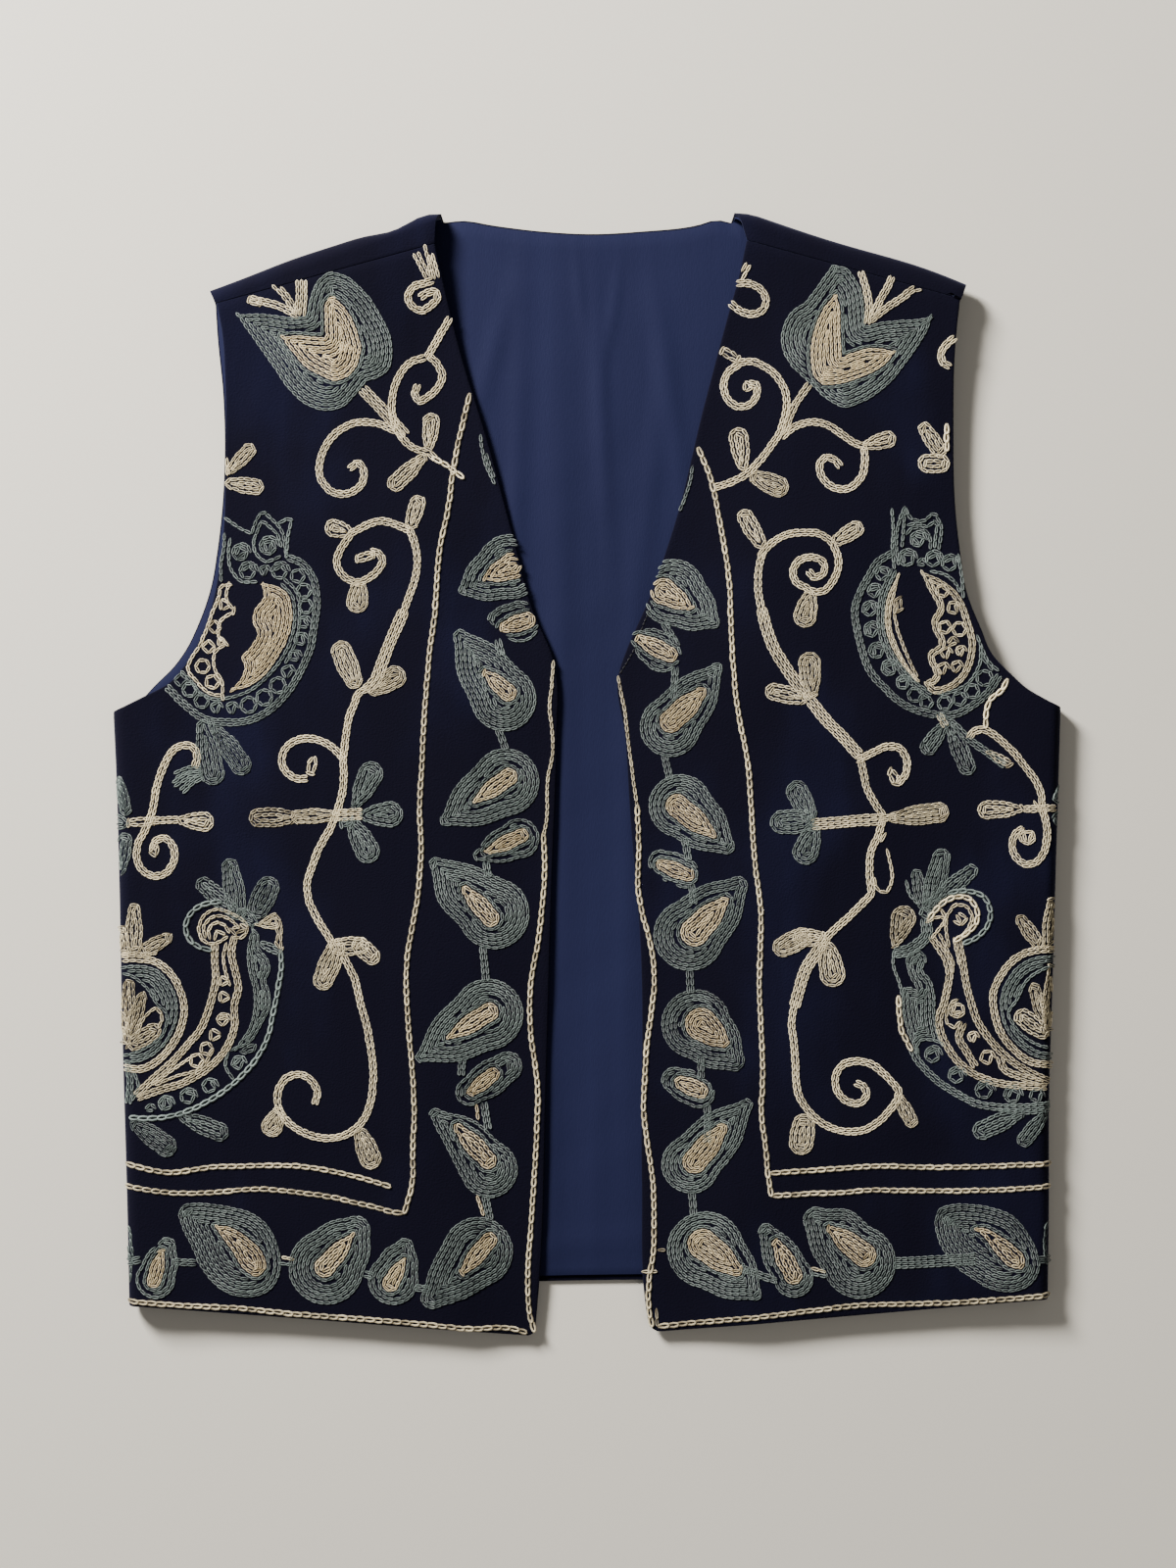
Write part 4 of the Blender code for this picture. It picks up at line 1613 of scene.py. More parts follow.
RIGHT_CORNER_CORE = Patch(((219.4, 1250, 228, 1250, 254.4, 1263, 269.7, 1280.6, 272, 1293.7, 263, 1302.4,
    250, 1296, 237, 1276, 224.6, 1258.7, 219.4, 1250),), STRAW)
LEFT_CORNER_CORE = Patch(((993, 1254, 999.4, 1252, 1021.3, 1261, 1036.6, 1271.8, 1045.4, 1282.7,
    1043, 1293.7, 1032, 1293.7, 1017, 1280.6, 1003.8, 1263, 993, 1254),), STRAW)

RIGHT_EDGE_LINES = (
    Stem((565, 674.6, 562.7, 701, 560.7, 719, 563.3, 745, 563.9, 768, 558.8, 796, 558.2, 829, 557, 841,
        554.7, 853), 1),
    *lines(CREAM, (554.7, 851, 555.8, 889, 553.5, 923, 551, 946, 547.8, 969, 543.2, 992, 540.7, 1017,
        541.5, 1054, 545.5, 1086, 548.7, 1111, 547.9, 1149, 545.5, 1197, 542, 1250, 538.8, 1299.5,
        540.5, 1341, 544.6, 1359), (479, 402, 468, 449.5, 462.7, 477, 457, 520, 450, 553, 442.8, 634,
        438.9, 662, 435, 706.5, 432.6, 738, 430.6, 783, 428.4, 820, 430, 866, 427.3, 906, 414.8, 990,
        416.4, 1038, 420.4, 1085.6, 422.8, 1133.5, 421.2, 1181, 421.5, 1200, 418.5, 1218, 413, 1236.5),
        (411, 1238, 402, 1237, 390, 1234, 374.6, 1230, 333, 1220.7, 320, 1219, 266.7, 1213.4, 215.7, 1216.6,
        174.8, 1216.6, 128.9, 1210), (129, 1187, 173, 1196, 215, 1191, 247, 1190, 305, 1190, 364, 1201,
        397.8, 1210.8), (131.5, 1327, 183.8, 1331.4, 247.6, 1335, 300, 1341, 366.3, 1346, 432.7, 1351.7,
        482.4, 1356.7, 520.6, 1356.7, 537, 1361)),
)
RIGHT_LEAF_BORDER = (
    *leaves(
        (473, 602, 6, 520, 578, 34, 495, 590, 3, 523, 577, 14),
        (503, 630, 6, 530, 634, 22, 515, 640, 6, 538, 633, 9),
        (469.5, 649, 7.5, 514, 713, 34, 495, 686, 3, 518, 706.5, 9.5),
        (455, 837, 6.5, 516, 798, 35, 485, 817.5, 3, 519, 793, 9.5),
        (489, 873, 6.5, 530, 855.6, 21, 497, 869, 3, 532, 853, 7.5),
        (444.5, 881, 7, 504, 932.5, 37, 475, 908, 4.6, 500.7, 937, 9.5, 0.05, 0.12),
        (429, 1079, 5.5, 497.7, 1035.4, 37, 457.8, 1058.5, 3, 499.3, 1033, 10),
        (479.3, 1114.3, 15, 517.6, 1088.8, 16, 481, 1114.3, 5, 502.5, 1096.8, 7.5),
        (444.3, 1136.7, 6.5, 499.3, 1194, 29.5, 467.4, 1151, 5, 497.7, 1184.5, 9.5, 0.10, 0.0),
        (441, 1324.4, 12, 487.4, 1278, 36.5, 472.5, 1297.8, 4, 499, 1266.3, 8.5, 0.04, 0.04),
        (412.8, 1273, 10, 401.2, 1306, 26.5, 412.8, 1284.6, 2, 398.7, 1309.5, 9),
        (362.5, 1256.5, 16.5, 333, 1293, 39, 360.5, 1259.7, 2, 331.5, 1293, 11)),
    Patch(((181.3, 1238, 187, 1229, 199, 1226.6, 219.4, 1228, 241, 1231.6, 258.7, 1237.7, 272, 1247.7,
        281.5, 1263, 286.7, 1280.6, 286, 1300, 278.4, 1314.7, 265.3, 1322.5, 250, 1324.3, 232.5, 1320,
        217, 1309, 204, 1291.5, 195.3, 1271.8, 186.6, 1254.3, 181.3, 1238),), TEAL, hole=RIGHT_CORNER_CORE),
    RIGHT_CORNER_CORE,
    *leaves((171, 1271.4, 10, 159.5, 1304.6, 20.5, 166, 1276.5, 3, 157.6, 1306, 7.5)),
    *clubs(TEAL, (112, 1262, 24, 112, 1300, 24)),
    *stems(1, TEAL, (490, 443, 492.5, 461, 497.5, 478, 504.5, 493), (496, 462, 500, 475, 504, 486)),
    *stems(2, TEAL, (508, 653, 512, 668), (508, 743, 516, 764), (496, 880, 498, 894), (492.7, 966,
        496, 1000), (472, 1079, 470.6, 1097)), Stem((486, 1128, 488, 1142), 1, STRAW),
    Stem((494, 1126, 498, 1152), 2, TEAL), Stem((487, 1221, 493, 1240), 1, STRAW),
    *stems(2, TEAL, (495, 1220, 500, 1244), (438, 1316, 424.4, 1314)), Stem((300, 1285.5, 288.4, 1283), 1),
    Stem((300, 1291, 286, 1289), 1, TEAL),
    *stems(2, TEAL, (200, 1288, 179, 1287), (144, 1284, 130, 1288), (372, 1300, 380, 1302)),
)
RIGHT_TULIP = (
    Patch(((240.8, 321.4, 272, 320.8, 302.7, 324, 312.9, 322.7), (312.9, 322.7, 316.7, 304.8, 324.4, 287,
        335.8, 278.7, 351, 281, 370, 294.6, 388, 319, 399.6, 344.4, 401, 362, 397, 377.5, 388, 385,
        374, 390.3), (374, 390.3, 364, 403, 351, 415.8, 332, 420, 313, 414.5, 296.3, 400.5, 281, 378.8,
        262, 352, 240.8, 321.4)), TEAL, hole=RIGHT_TULIP_CORE), RIGHT_TULIP_CORE,
    Stem((306.5, 323, 308.5, 303, 307.8, 281), 3), Stem((303, 320, 292, 303, 281, 291)),
    Stem((283, 293, 269.5, 294), 1), Stem((305, 323, 285, 313.5, 257, 306)),
    *clubs(CREAM, (258, 307.5, 6, 264, 309.5, 5)), Stem((370, 397, 390, 418, 413, 444), 3),
)
RIGHT_UPPER_VINE = (
    Stem((437, 284, 425, 260)), Stem((441, 284, 434, 252), 1),
    *stems(2, CREAM, (446, 284, 440, 262), (441.8, 286.8, 433.6, 289.5, 422.7, 293, 416.4, 304, 421, 313,
        429, 316.8, 440, 311.4, 446.4, 302.3, 444.5, 298.6, 433.6, 300.5, 429, 304), (459, 324, 448, 343,
        435.5, 364), (433.6, 364, 417, 371, 404.5, 389.5, 400, 407.7, 401, 426, 406.4, 440.5, 419, 455,
        435, 462), (437, 362, 446.4, 371.4, 451, 382, 446.4, 395, 437, 404, 428, 408.6, 423.6, 402.3,
        425.5, 393), (404, 440, 384, 432, 362, 432, 341, 444, 328, 466, 327, 487, 339, 502, 357, 503,
        370, 492, 371, 480, 366, 473, 357, 478)),
    *clubs(CREAM, (440, 430, 9.5, 438, 455, 5.5), (404, 493, 9.5, 431, 467, 5.5)),
    Stem((438, 462, 444, 468)), Line((441.8, 466.8, 456, 475, 472, 487)),
    *clubs(CREAM, (254, 460, 8, 236, 479, 5.5)), Stem((231.6, 468.2, 232, 484), 1),
    *clubs(CREAM, (261, 497, 9, 236, 493.5, 6.5)),
)
RIGHT_MIDDLE_VINE = (
    *clubs(CREAM, (341, 539, 10, 353, 542.5, 7), (426.5, 513, 8.5, 420, 534, 7)),
    *stems(2, CREAM, (357, 545, 367.7, 539.3, 378.9, 533.7, 388.8, 532, 398.6, 533.7, 409.8, 537.9,
        418, 541), (357.9, 545, 348.1, 560.3, 343.9, 571.6, 346.7, 582.8, 355.1, 591.2, 366.3, 594,
        376.1, 589.8, 385.9, 581.4, 390.2, 571.6, 385.9, 564.5, 378.9, 562.4)),
    *clubs(CREAM, (366.3, 570.2, 5.5, 379, 566, 5.5), (366, 601, 9, 364.5, 614.5, 11.5)),
    Stem((418.2, 540, 423.8, 556.1, 425.9, 573, 423.8, 589.8, 418.2, 606.6, 411.2, 626.3)),
    Stem((411.8, 624, 402.8, 644.5, 395.8, 661.4, 388.8, 679.6, 383.1, 695, 374, 704), 3),
    Stem((376, 702, 366.3, 707.7, 361.9, 718.1, 356.5, 731.5, 353.8, 746.3, 351.8, 761, 350.5, 775.7,
        351.2, 790.5, 350.5, 803.9, 347.2, 818.6, 343, 830.6, 337.8, 844, 331, 856, 323, 872, 317.7, 886.9,
        313.9, 899.6, 315, 917.2, 323.8, 937, 335.9, 956.8, 341, 966)),
    *clubs(CREAM, (349, 665, 11.5, 361, 694, 9.5), (403, 691, 12, 382, 704, 7)),
    Stem((351.2, 775, 341.8, 765, 332.4, 758.3, 320.4, 754.3, 308.3, 754.3, 297.6, 758.3, 289.6, 767.7,
        288.2, 778.4, 293.6, 789.1, 303, 794.5, 313.7, 794.5)),
    *clubs(CREAM, (319.5, 777, 6, 317.5, 787, 5.5)), Club((264, 834.5, 10.5), (296, 834, 8), tone=-0.25),
    *clubs(CREAM, (304, 833.5, 7.5, 338, 832, 6)), Stem((340, 832, 369, 830.5), 3),
    *clubs(TEAL, (378.5, 790, 13.5, 363, 822, 5), (398, 831, 14, 374, 832, 7), (375, 868, 13.5, 361, 842, 8),
        (350, 841, 4.5, 358, 838, 5)),
    *clubs(CREAM, (330, 1000, 11, 343, 968, 10), (346, 966, 9.5, 368, 965, 9.5),
        (368, 965, 9.5, 379.5, 976, 9.5)),
    Stem((351, 976, 361.2, 996.4, 367.8, 1022.8, 374.4, 1047, 378.8, 1071.2, 381, 1099.8, 378.8, 1121.8,
        370, 1143.8, 354.6, 1157, 332.6, 1161.4, 310.6, 1155.9, 293, 1143.8, 284.2, 1128.4, 284.2, 1113,
        293, 1099.8, 306.2, 1096.5, 317.2, 1102, 323.8, 1113, 321.6, 1126.2)),
    *clubs(CREAM, (278, 1149, 11.5, 284, 1137, 7.5), (369, 1159, 8.5, 378, 1181.5, 12)),
)
RIGHT_SIDE_VINE = (
    Stem((199, 783, 201.5, 774, 199, 764.5, 193.6, 761, 186, 761, 178, 765.2, 171.8, 773.8, 165.3, 787.8,
        160.5, 804, 157.5, 822, 154, 834.7, 148.5, 848, 142, 861, 140.2, 874, 146, 887.5, 158, 894,
        170.5, 890, 178.5, 877, 177, 863.5, 168.5, 855.5, 160, 858, 156.5, 866)),
    *clubs(CREAM, (158, 864, 5.5, 158, 869, 6)),
    *stems(2, TEAL, (206, 786, 193, 785.5, 180, 791), (206, 789, 194, 791, 178.5, 800), (206, 792, 198, 797,
        186.5, 807)), Stem((157, 837.5, 182, 836.5)),
    *clubs(CREAM, (186, 837, 5.5, 208.5, 838.6, 10.8), (134, 839.5, 5.5, 156, 838, 5.5)),
    *clubs(TEAL, (122.5, 797, 4.5, 129, 826, 6.5), (128, 858, 9, 123.5, 887, 6.5),
        (117, 838, 9, 126, 840, 6.5)),
)
RIGHT_POMEGRANATE = (
    *stems(1, TEAL, (229.4, 529, 244.5, 538.7, 255.7, 544.3), (229, 530, 228.6, 557.8, 225.4, 577, 226, 593),
        (257.3, 544.3, 262, 530.7, 268.4, 523.6, 276.4, 529, 287.6, 542, 292.3, 565.8), (258.9, 553,
        262, 544, 268.4, 533, 273.2, 536.3, 282.8, 545, 287, 557.8), (284.4, 534, 295.5, 530, 294, 548,
        292.3, 569)), *coils(TEAL, (274.5, 557.8, 12.5)),
    Stem((259, 549, 260, 562, 271, 573, 286, 568), 1, TEAL),
    *coils(TEAL, (246, 564.2, 12), (253.3, 583.3, 12, 3.5), (286, 583.3, 12, 3.5), (304, 588, 8, 3),
        (270, 583, 8)), Stem((235, 550, 233.3, 565.8, 236.5, 581.7, 246, 593, 262, 594), 1, TEAL),
    Stem((294, 569, 308.3, 575.4, 319.4, 589.7, 323.4, 609, 321, 637.6, 316.3, 663, 306.7, 685.4, 294, 706,
        274.8, 725.2, 255.7, 734.8, 231.7, 737.2, 207.8, 733.2, 188.7, 719, 171.2, 701.3), 2, TEAL),
    *stems(1, TEAL, (287.6, 596, 298.7, 609, 301, 628, 297, 653.5, 287.6, 672.6, 274.8, 688.6, 255.7, 704.5,
        236.5, 711.7, 220.6, 714, 207.8, 709.3, 191.9, 691.8, 185.5, 685.4), (290, 590, 303, 605, 306, 630,
        302, 655, 292, 676)),
    *coils(TEAL, (310.5, 603, 8.5, 2), (312, 619, 8.5, 2), (310.5, 636, 9, 1), (307, 653, 9.5, 2),
        (301, 670, 9, 1), (294, 686, 9, 2), (284, 699.5, 9.5, 3), (270, 712, 9.5, 3.5),
        (254, 719.5, 9.5, 3.5), (237, 723, 8.5, 1), (221, 722.5, 8.5, 1), (206, 715.5, 8.5, 2),
        (194, 704, 8.5, 2), (185, 694, 7, 1)),
    Patch(((266.8, 594.5, 281, 597, 294, 605.7, 298.7, 621.6, 295.5, 648.7, 284.4, 671, 271.6, 688.6,
        254, 701.3, 233, 706), (233, 706, 246, 691.8, 249.3, 680.6, 246, 671, 254, 661.5, 262, 645.5,
        258, 636, 259, 623, 268.4, 609, 266.8, 594.5)), STRAW),
    Patch(((235.7, 594.5, 234, 612, 241.3, 623.2, 227, 636, 226, 648.7, 234, 656.7, 221.4, 667.8, 222, 682,
        228.6, 693.4, 230, 712.5), (230, 712.5, 215.8, 711, 200, 698, 189.5, 682, 195, 667.8, 201.5, 658.3,
        207.8, 642.3, 214.2, 624.8, 220.6, 609, 223.8, 597, 235.7, 594.5)), CREAM, most=1),
    *coils(CREAM, (229, 617, 6, 1.5), (219, 640, 7, 2), (213, 660, 7, 2), (207, 680, 8.5, 2.5),
        (217, 696, 8, 2), (226, 655, 5)),
    *clubs(TEAL, (208, 742, 8, 217, 789, 13), (222, 745, 6, 246, 780, 11.5)),
    Stem((214, 733, 219, 748), 2, TEAL),
)
RIGHT_BIRD = (
    *clubs(TEAL, (208.5, 903, 9, 238, 929, 8), (235, 884.5, 9, 243, 930, 9.5),
        (273.5, 906, 12.5, 264, 926, 12), (250, 934, 8, 258, 940, 6)),
    Line((226, 920, 208.2, 923, 195.8, 931.3, 190, 943.7, 192.7, 956.2, 202, 965.5, 214.5, 969.6),
        thread=TEAL),
    *stems(1, CREAM, (206.5, 960, 203.5, 947, 208, 935, 220, 928, 234, 931, 245, 937, 252.5, 946, 248, 955.5,
        238, 957), (210, 957, 208.5, 945, 216, 936.5, 226, 935, 236, 939, 244, 947), (214.5, 958,
        213.5, 948.5, 220, 942, 229, 944, 234, 951), (219, 959, 222.5, 950.5, 229, 953), (206, 958,
        213, 962.5, 222, 961.5, 232, 956)), *clubs(CREAM, (240, 949, 5, 248.5, 947, 4)),
    *stems(2, CREAM, (219.6, 962.4, 219.6, 981, 220.7, 997.6, 217.6, 1014.2, 211.4, 1034.9, 204.1, 1051.5,
        191.7, 1066, 177.2, 1082.6, 158.5, 1099.1, 140, 1117), (239.3, 956.2, 236.5, 972.7, 239.3, 987.3,
        243.5, 1008, 239.3, 1026.6, 240, 1043.2, 235.2, 1061.9, 224.8, 1078.4, 208.2, 1092.9, 185.5, 1105.4,
        164.7, 1111.6, 141.9, 1119.9)), Stem((231, 962.4, 228.5, 976.9, 231, 993.5, 235, 1005), 1),
    *coils(CREAM, (228, 1001, 5.5), (228.6, 1017.3, 6), (228, 1041, 9.5), (219, 1056, 6),
        (211, 1070, 7.5, 2), (201, 1082, 8, 3)),
    *stems(1, CREAM, (218, 1071, 205, 1090, 180, 1098, 160, 1106), (196, 1078, 176, 1092, 156, 1106)),
    Patch(((257, 946, 251.8, 968.6, 252.8, 989.3, 258, 1010, 258, 1030.8, 253.8, 1047.3, 243.5, 1063.9,
        235, 1074), (235, 1074, 255.9, 1063.9, 268.3, 1045.3, 276.6, 1026.6, 275.6, 1010, 272.5, 1001.8,
        276.6, 989.3, 273.5, 976.9, 266, 968, 264, 952, 257, 946))),
    Patch(((260, 944, 268.3, 937.5, 280.8, 931.3, 288, 939.6, 289, 956.2, 288, 972), (288, 972, 280.8, 964,
        281, 950, 270, 948, 260, 944)), CREAM), *clubs(TEAL, (269, 964, 5, 284, 971, 5)),
    Line((287, 971, 287, 989.3, 283.9, 1010, 278.7, 1034.9, 273.5, 1057.7, 264.2, 1076.4, 249.7, 1095,
        231, 1111.6, 208.2, 1126, 183.4, 1136.4, 156.4, 1140.6, 134, 1140), thread=TEAL),
    *coils(TEAL, (243.5, 1085, 10)), Stem((233, 1073, 230.5, 1088, 238, 1101), 1, TEAL),
    *clubs(TEAL, (258, 1069, 5, 248, 1073, 3.5)),
    *coils(TEAL, (214.5, 1108.5, 10.5, 3), (192.7, 1119, 11, 3), (170, 1126, 10.5), (154, 1131, 7)),
    *clubs(TEAL, (140, 1147, 7, 170, 1169, 11.5), (188, 1140, 6, 224, 1155, 10.5)),
    Stem((131, 1085, 133.6, 1103, 132, 1125), 2, TEAL), Stem((138, 1094, 142, 1108, 136, 1122), 1, TEAL),
)
RIGHT_ROUND_FLOWER = (
    Stem((118, 979, 141.9, 977.9, 158.5, 981, 173, 991.4, 183.4, 1008, 188.6, 1028.7, 185.5, 1047.3,
        176.2, 1066, 162, 1081.6, 146.1, 1090, 128, 1089)),
    Patch(((110, 990, 123.3, 986, 141.9, 984, 160.6, 988.3, 173.5, 1001, 182, 1020, 181.5, 1040, 175, 1058,
        163, 1073, 146, 1083, 128, 1085, 110, 1085), (110, 1085, 110, 1040, 110, 990)), TEAL,
        hole=RIGHT_PALMETTE),
    *clubs(CREAM, (132.6, 1005, 6.5, 130, 1050, 7), (146, 1017, 5.5, 134, 1052, 6)),
    Stem((140, 1058, 150, 1036, 160, 1029, 166, 1037, 163, 1048), 1),
    *clubs(CREAM, (157, 1052, 9, 138, 1064, 8.5), (122, 1040, 9, 126, 1062, 10),
        (137.8, 928, 7, 137.8, 966, 8.5), (171, 957, 6, 150, 969, 8), (124, 950, 6, 126, 968, 8)),
    Stem((118, 973, 160, 973), 1),
)
RIGHT_MOTIFS = {
    "edge_lines": RIGHT_EDGE_LINES,
    "leaf_border": RIGHT_LEAF_BORDER,
    "tulip": RIGHT_TULIP,
    "upper_vine": RIGHT_UPPER_VINE,
    "middle_vine": RIGHT_MIDDLE_VINE,
    "side_vine": RIGHT_SIDE_VINE,
    "pomegranate": RIGHT_POMEGRANATE,
    "bird": RIGHT_BIRD,
    "round_flower": RIGHT_ROUND_FLOWER,
}

LEFT_TULIP_CORE = Patch(((852.5, 300.8, 856.3, 311, 857.6, 336.5, 858.9, 364.6), (858.9, 364.6, 871.6, 359.5,
    886.9, 355.7, 902.2, 356.3, 913.7, 359.5), (913.7, 359.5, 904.8, 371, 892, 379.9, 872.9, 387.6,
    853.8, 392.7, 838.5, 393.3), (838.5, 393.3, 830.8, 385, 827, 368.4, 827.6, 349.3, 833.4, 328.9,
    843.6, 309.7, 852.5, 300.8)), STRAW)
LEFT_PALMETTE = Patch(((1098, 984, 1066, 990, 1050, 1000, 1038, 1022, 1031, 1032, 1040, 1050, 1060, 1064,
    1098, 1066), (1098, 1066, 1098, 1030, 1098, 984)), STRAW)

LEFT_EDGE_LINES = (
    Stem((631, 690, 637, 723, 644, 777, 650.5, 824), 1),
    Line((650.3, 822, 652, 868, 651.3, 905, 656.4, 935, 663.7, 963, 668, 1000, 664.5, 1037, 659.5, 1075,
        658, 1103, 657, 1132, 661, 1168.6, 666.4, 1205, 667.7, 1242, 667, 1277, 662.5, 1309, 663, 1340,
        665.6, 1354)),
    *stems(1, CREAM, (670, 1338, 671, 1354), (672, 1276.7, 678.5, 1276.7), (656, 1298.5, 670, 1298.5)),
    *lines(CREAM, (709, 448, 725, 486, 735, 533, 745, 601, 746, 633, 753, 725, 763.4, 780, 767, 831,
        770.8, 883, 776.6, 934, 776, 970.6, 775, 1000, 776.4, 1044, 778.6, 1103, 777, 1132, 782, 1176,
        784, 1200, 787, 1219.5), (788.5, 1220, 804, 1219.5, 828.4, 1218, 860, 1217, 880, 1214.7, 928.9, 1215,
        960.4, 1215, 1032, 1213, 1071, 1210), (786.6, 1197, 847, 1193, 890, 1190, 955, 1191, 1072, 1187),
        (672.6, 1355, 716, 1350, 772, 1344.5, 828.4, 1337.5, 880, 1332, 931.7, 1330.6, 989, 1328,
        1032, 1324.5, 1071, 1321)),
    Stem((683.6, 570.7, 672, 600, 659, 631, 645.3, 665.7, 633, 687), 1, NAVY, SEAM),
)
LEFT_LEAF_BORDER = (
    *leaves(
        (728, 635, 7, 686.7, 604.4, 35, 705, 619.7, 3, 677.5, 603, 14),
        (654.5, 652, 12, 676, 665.6, 21, 653, 652, 5.5, 683.6, 668, 8.5),
        (732, 682, 6, 684, 741.5, 31.5, 715.7, 707, 6, 685, 736, 12),
        (741.5, 863.6, 9, 694.5, 822.5, 33, 728, 852, 4, 691.6, 822.5, 12.5),
        (674, 879.7, 13, 699, 891.5, 16, 675.5, 882.7, 6, 702, 893, 7),
        (753, 904.7, 11, 703.3, 954.5, 37, 740, 919, 4.5, 709, 951.6, 15),
        (748.5, 1082, 12, 710.4, 1045.5, 36, 738, 1063, 6.5, 716, 1045.5, 17),
        (688.4, 1102.7, 14, 713, 1114.4, 17.5, 695.7, 1105.6, 7.5, 714.8, 1113, 8.5),
        (761.7, 1127.6, 7, 704.5, 1189, 30, 736.8, 1152.5, 6, 709, 1186, 12.5),
        (770.8, 1320.7, 7, 720.3, 1275.8, 40, 751, 1295.4, 7, 717.5, 1270, 16),
        (782, 1256, 8.5, 810, 1303.8, 21, 792.6, 1268.8, 5, 809.4, 1301, 10),
        (833, 1245, 14, 877, 1288, 38, 846.6, 1253.3, 3.5, 881.5, 1280.4, 13, 0.15, 0.06)),
    Patch(((952.2, 1245.6, 957.9, 1232.4, 971, 1228, 993, 1228, 1017, 1232.4, 1036.6, 1242, 1049.8, 1258.7,
        1058.5, 1276, 1060.7, 1293.7, 1054, 1307.7, 1041, 1316.4, 1025.7, 1318.6, 1008, 1314.7,
        990.7, 1304.6, 975.4, 1293.7, 964.4, 1280.6, 955.7, 1263, 952.2, 1245.6),), TEAL,
        hole=LEFT_CORNER_CORE), LEFT_CORNER_CORE, *clubs(TEAL, (1077, 1255, 13, 1077, 1282, 13)),
    *stems(2, TEAL, (705, 475, 702.5, 490, 698, 504, 692, 519), (677.5, 636, 689.7, 655), (689.7, 681,
        687, 712), (678, 770, 684, 795), (699, 855, 703, 878), (706, 903, 708, 922), (704, 990, 705, 1013),
        (714.8, 1078, 716, 1100), (722, 1128, 722, 1165), (706, 1216, 708, 1240), (756, 1294, 792, 1307)),
    Stem((828.4, 1294, 842, 1298), 1), Stem((828.4, 1299.5, 842, 1303), 1, TEAL),
    Stem((912, 1289, 944.7, 1287.5, 994, 1284), 3, TEAL), Stem((1058, 1284.7, 1072, 1284.7), 2, TEAL),
)
LEFT_TULIP = (
    Patch(((848.7, 270.2, 856.3, 272.1, 862.7, 273.4, 870.4, 281.7, 876.7, 291.9, 880.6, 304.6, 881.8, 317.4,
        883.1, 332.7), (883.1, 332.7, 898.4, 328.9, 917.6, 327, 936.7, 325.7, 951.4, 322.5), (951.4, 322.5,
        947.5, 335.3, 936.7, 354.4, 923.9, 372.2, 912.4, 387.6, 898.4, 400.3, 879.3, 411.8, 861.4, 416.9,
        851.2, 413, 837.2, 402.9, 827, 392.7, 816.8, 383.7, 806.6, 373.5, 798.9, 359.5, 796.4, 344.2,
        800.2, 328.9, 809.1, 316.1, 819.3, 309.7, 829.5, 297, 839.7, 283, 848.7, 270.2)), TEAL,
        hole=LEFT_TULIP_CORE), LEFT_TULIP_CORE,
    *stems(2, CREAM, (884.4, 331.4, 886.3, 313.6, 883.1, 295.7, 878, 279.1), (889, 325, 898.4, 305.9,
        904.8, 294.4, 909.3, 284.5), (888, 328, 904.8, 314.8, 920, 304.6, 932.9, 295.7, 945.6, 294.4),
        (826, 392, 814.2, 408.7, 806, 425, 801.2, 439)),
)
LEFT_UPPER_VINE = (
    Stem((755, 284.9, 763, 271)), Stem((754, 284, 755.5, 274), 1),
    Stem((752, 289.8, 764.7, 289.8, 774.7, 294.8, 781.3, 304.8, 778, 316.4, 768, 320.5, 756.5, 318,
        746, 310)), *clubs(CREAM, (740, 358, 6, 752, 366, 5)),
    *stems(2, CREAM, (754, 369.4, 768, 368.6, 781.3, 374.4, 792.9, 384.4, 801.2, 399.3, 802.9, 414.2,
        800.4, 427.5, 796.2, 440.7, 786.3, 455.7, 774.7, 470.6, 761.4, 483.8, 744.8, 492.1, 729.9, 497.1),
        (754.8, 371, 743.2, 379.4, 739, 392.6, 742.4, 405.9, 753.1, 414.2, 764.7, 412.5, 772.2, 402.6,
        771.4, 392.6, 765, 391)), *coils(CREAM, (763, 394, 5.5)),
    Stem((798, 446, 803, 441, 814.5, 434.1, 827.8, 430.8, 842.7, 433.3, 857.6, 442.4, 872.5, 452.3,
        884, 456)), *clubs(CREAM, (886, 454, 6, 905.5, 448.5, 9.5)),
    Stem((881.6, 457, 882.5, 472.2, 877.5, 488.8, 864.2, 498.8, 851, 497.9, 839.4, 487.2, 836.9, 473.9,
        842.7, 467.3, 851, 468.9, 857.5, 476)),
    *clubs(CREAM, (754, 446, 11, 758, 474, 6.5), (794, 496.5, 11.5, 773, 487.5, 8)),
    Stem((973.7, 345.5, 963.5, 354.4, 959.6, 363.3, 962.2, 371, 968.6, 374.8)),
    *clubs(CREAM, (943.5, 438, 7.3, 958, 459, 8.5)), Line((966, 433.5, 966, 459)),
    *clubs(CREAM, (946.5, 473, 10.5, 960, 473.5, 10)),
)
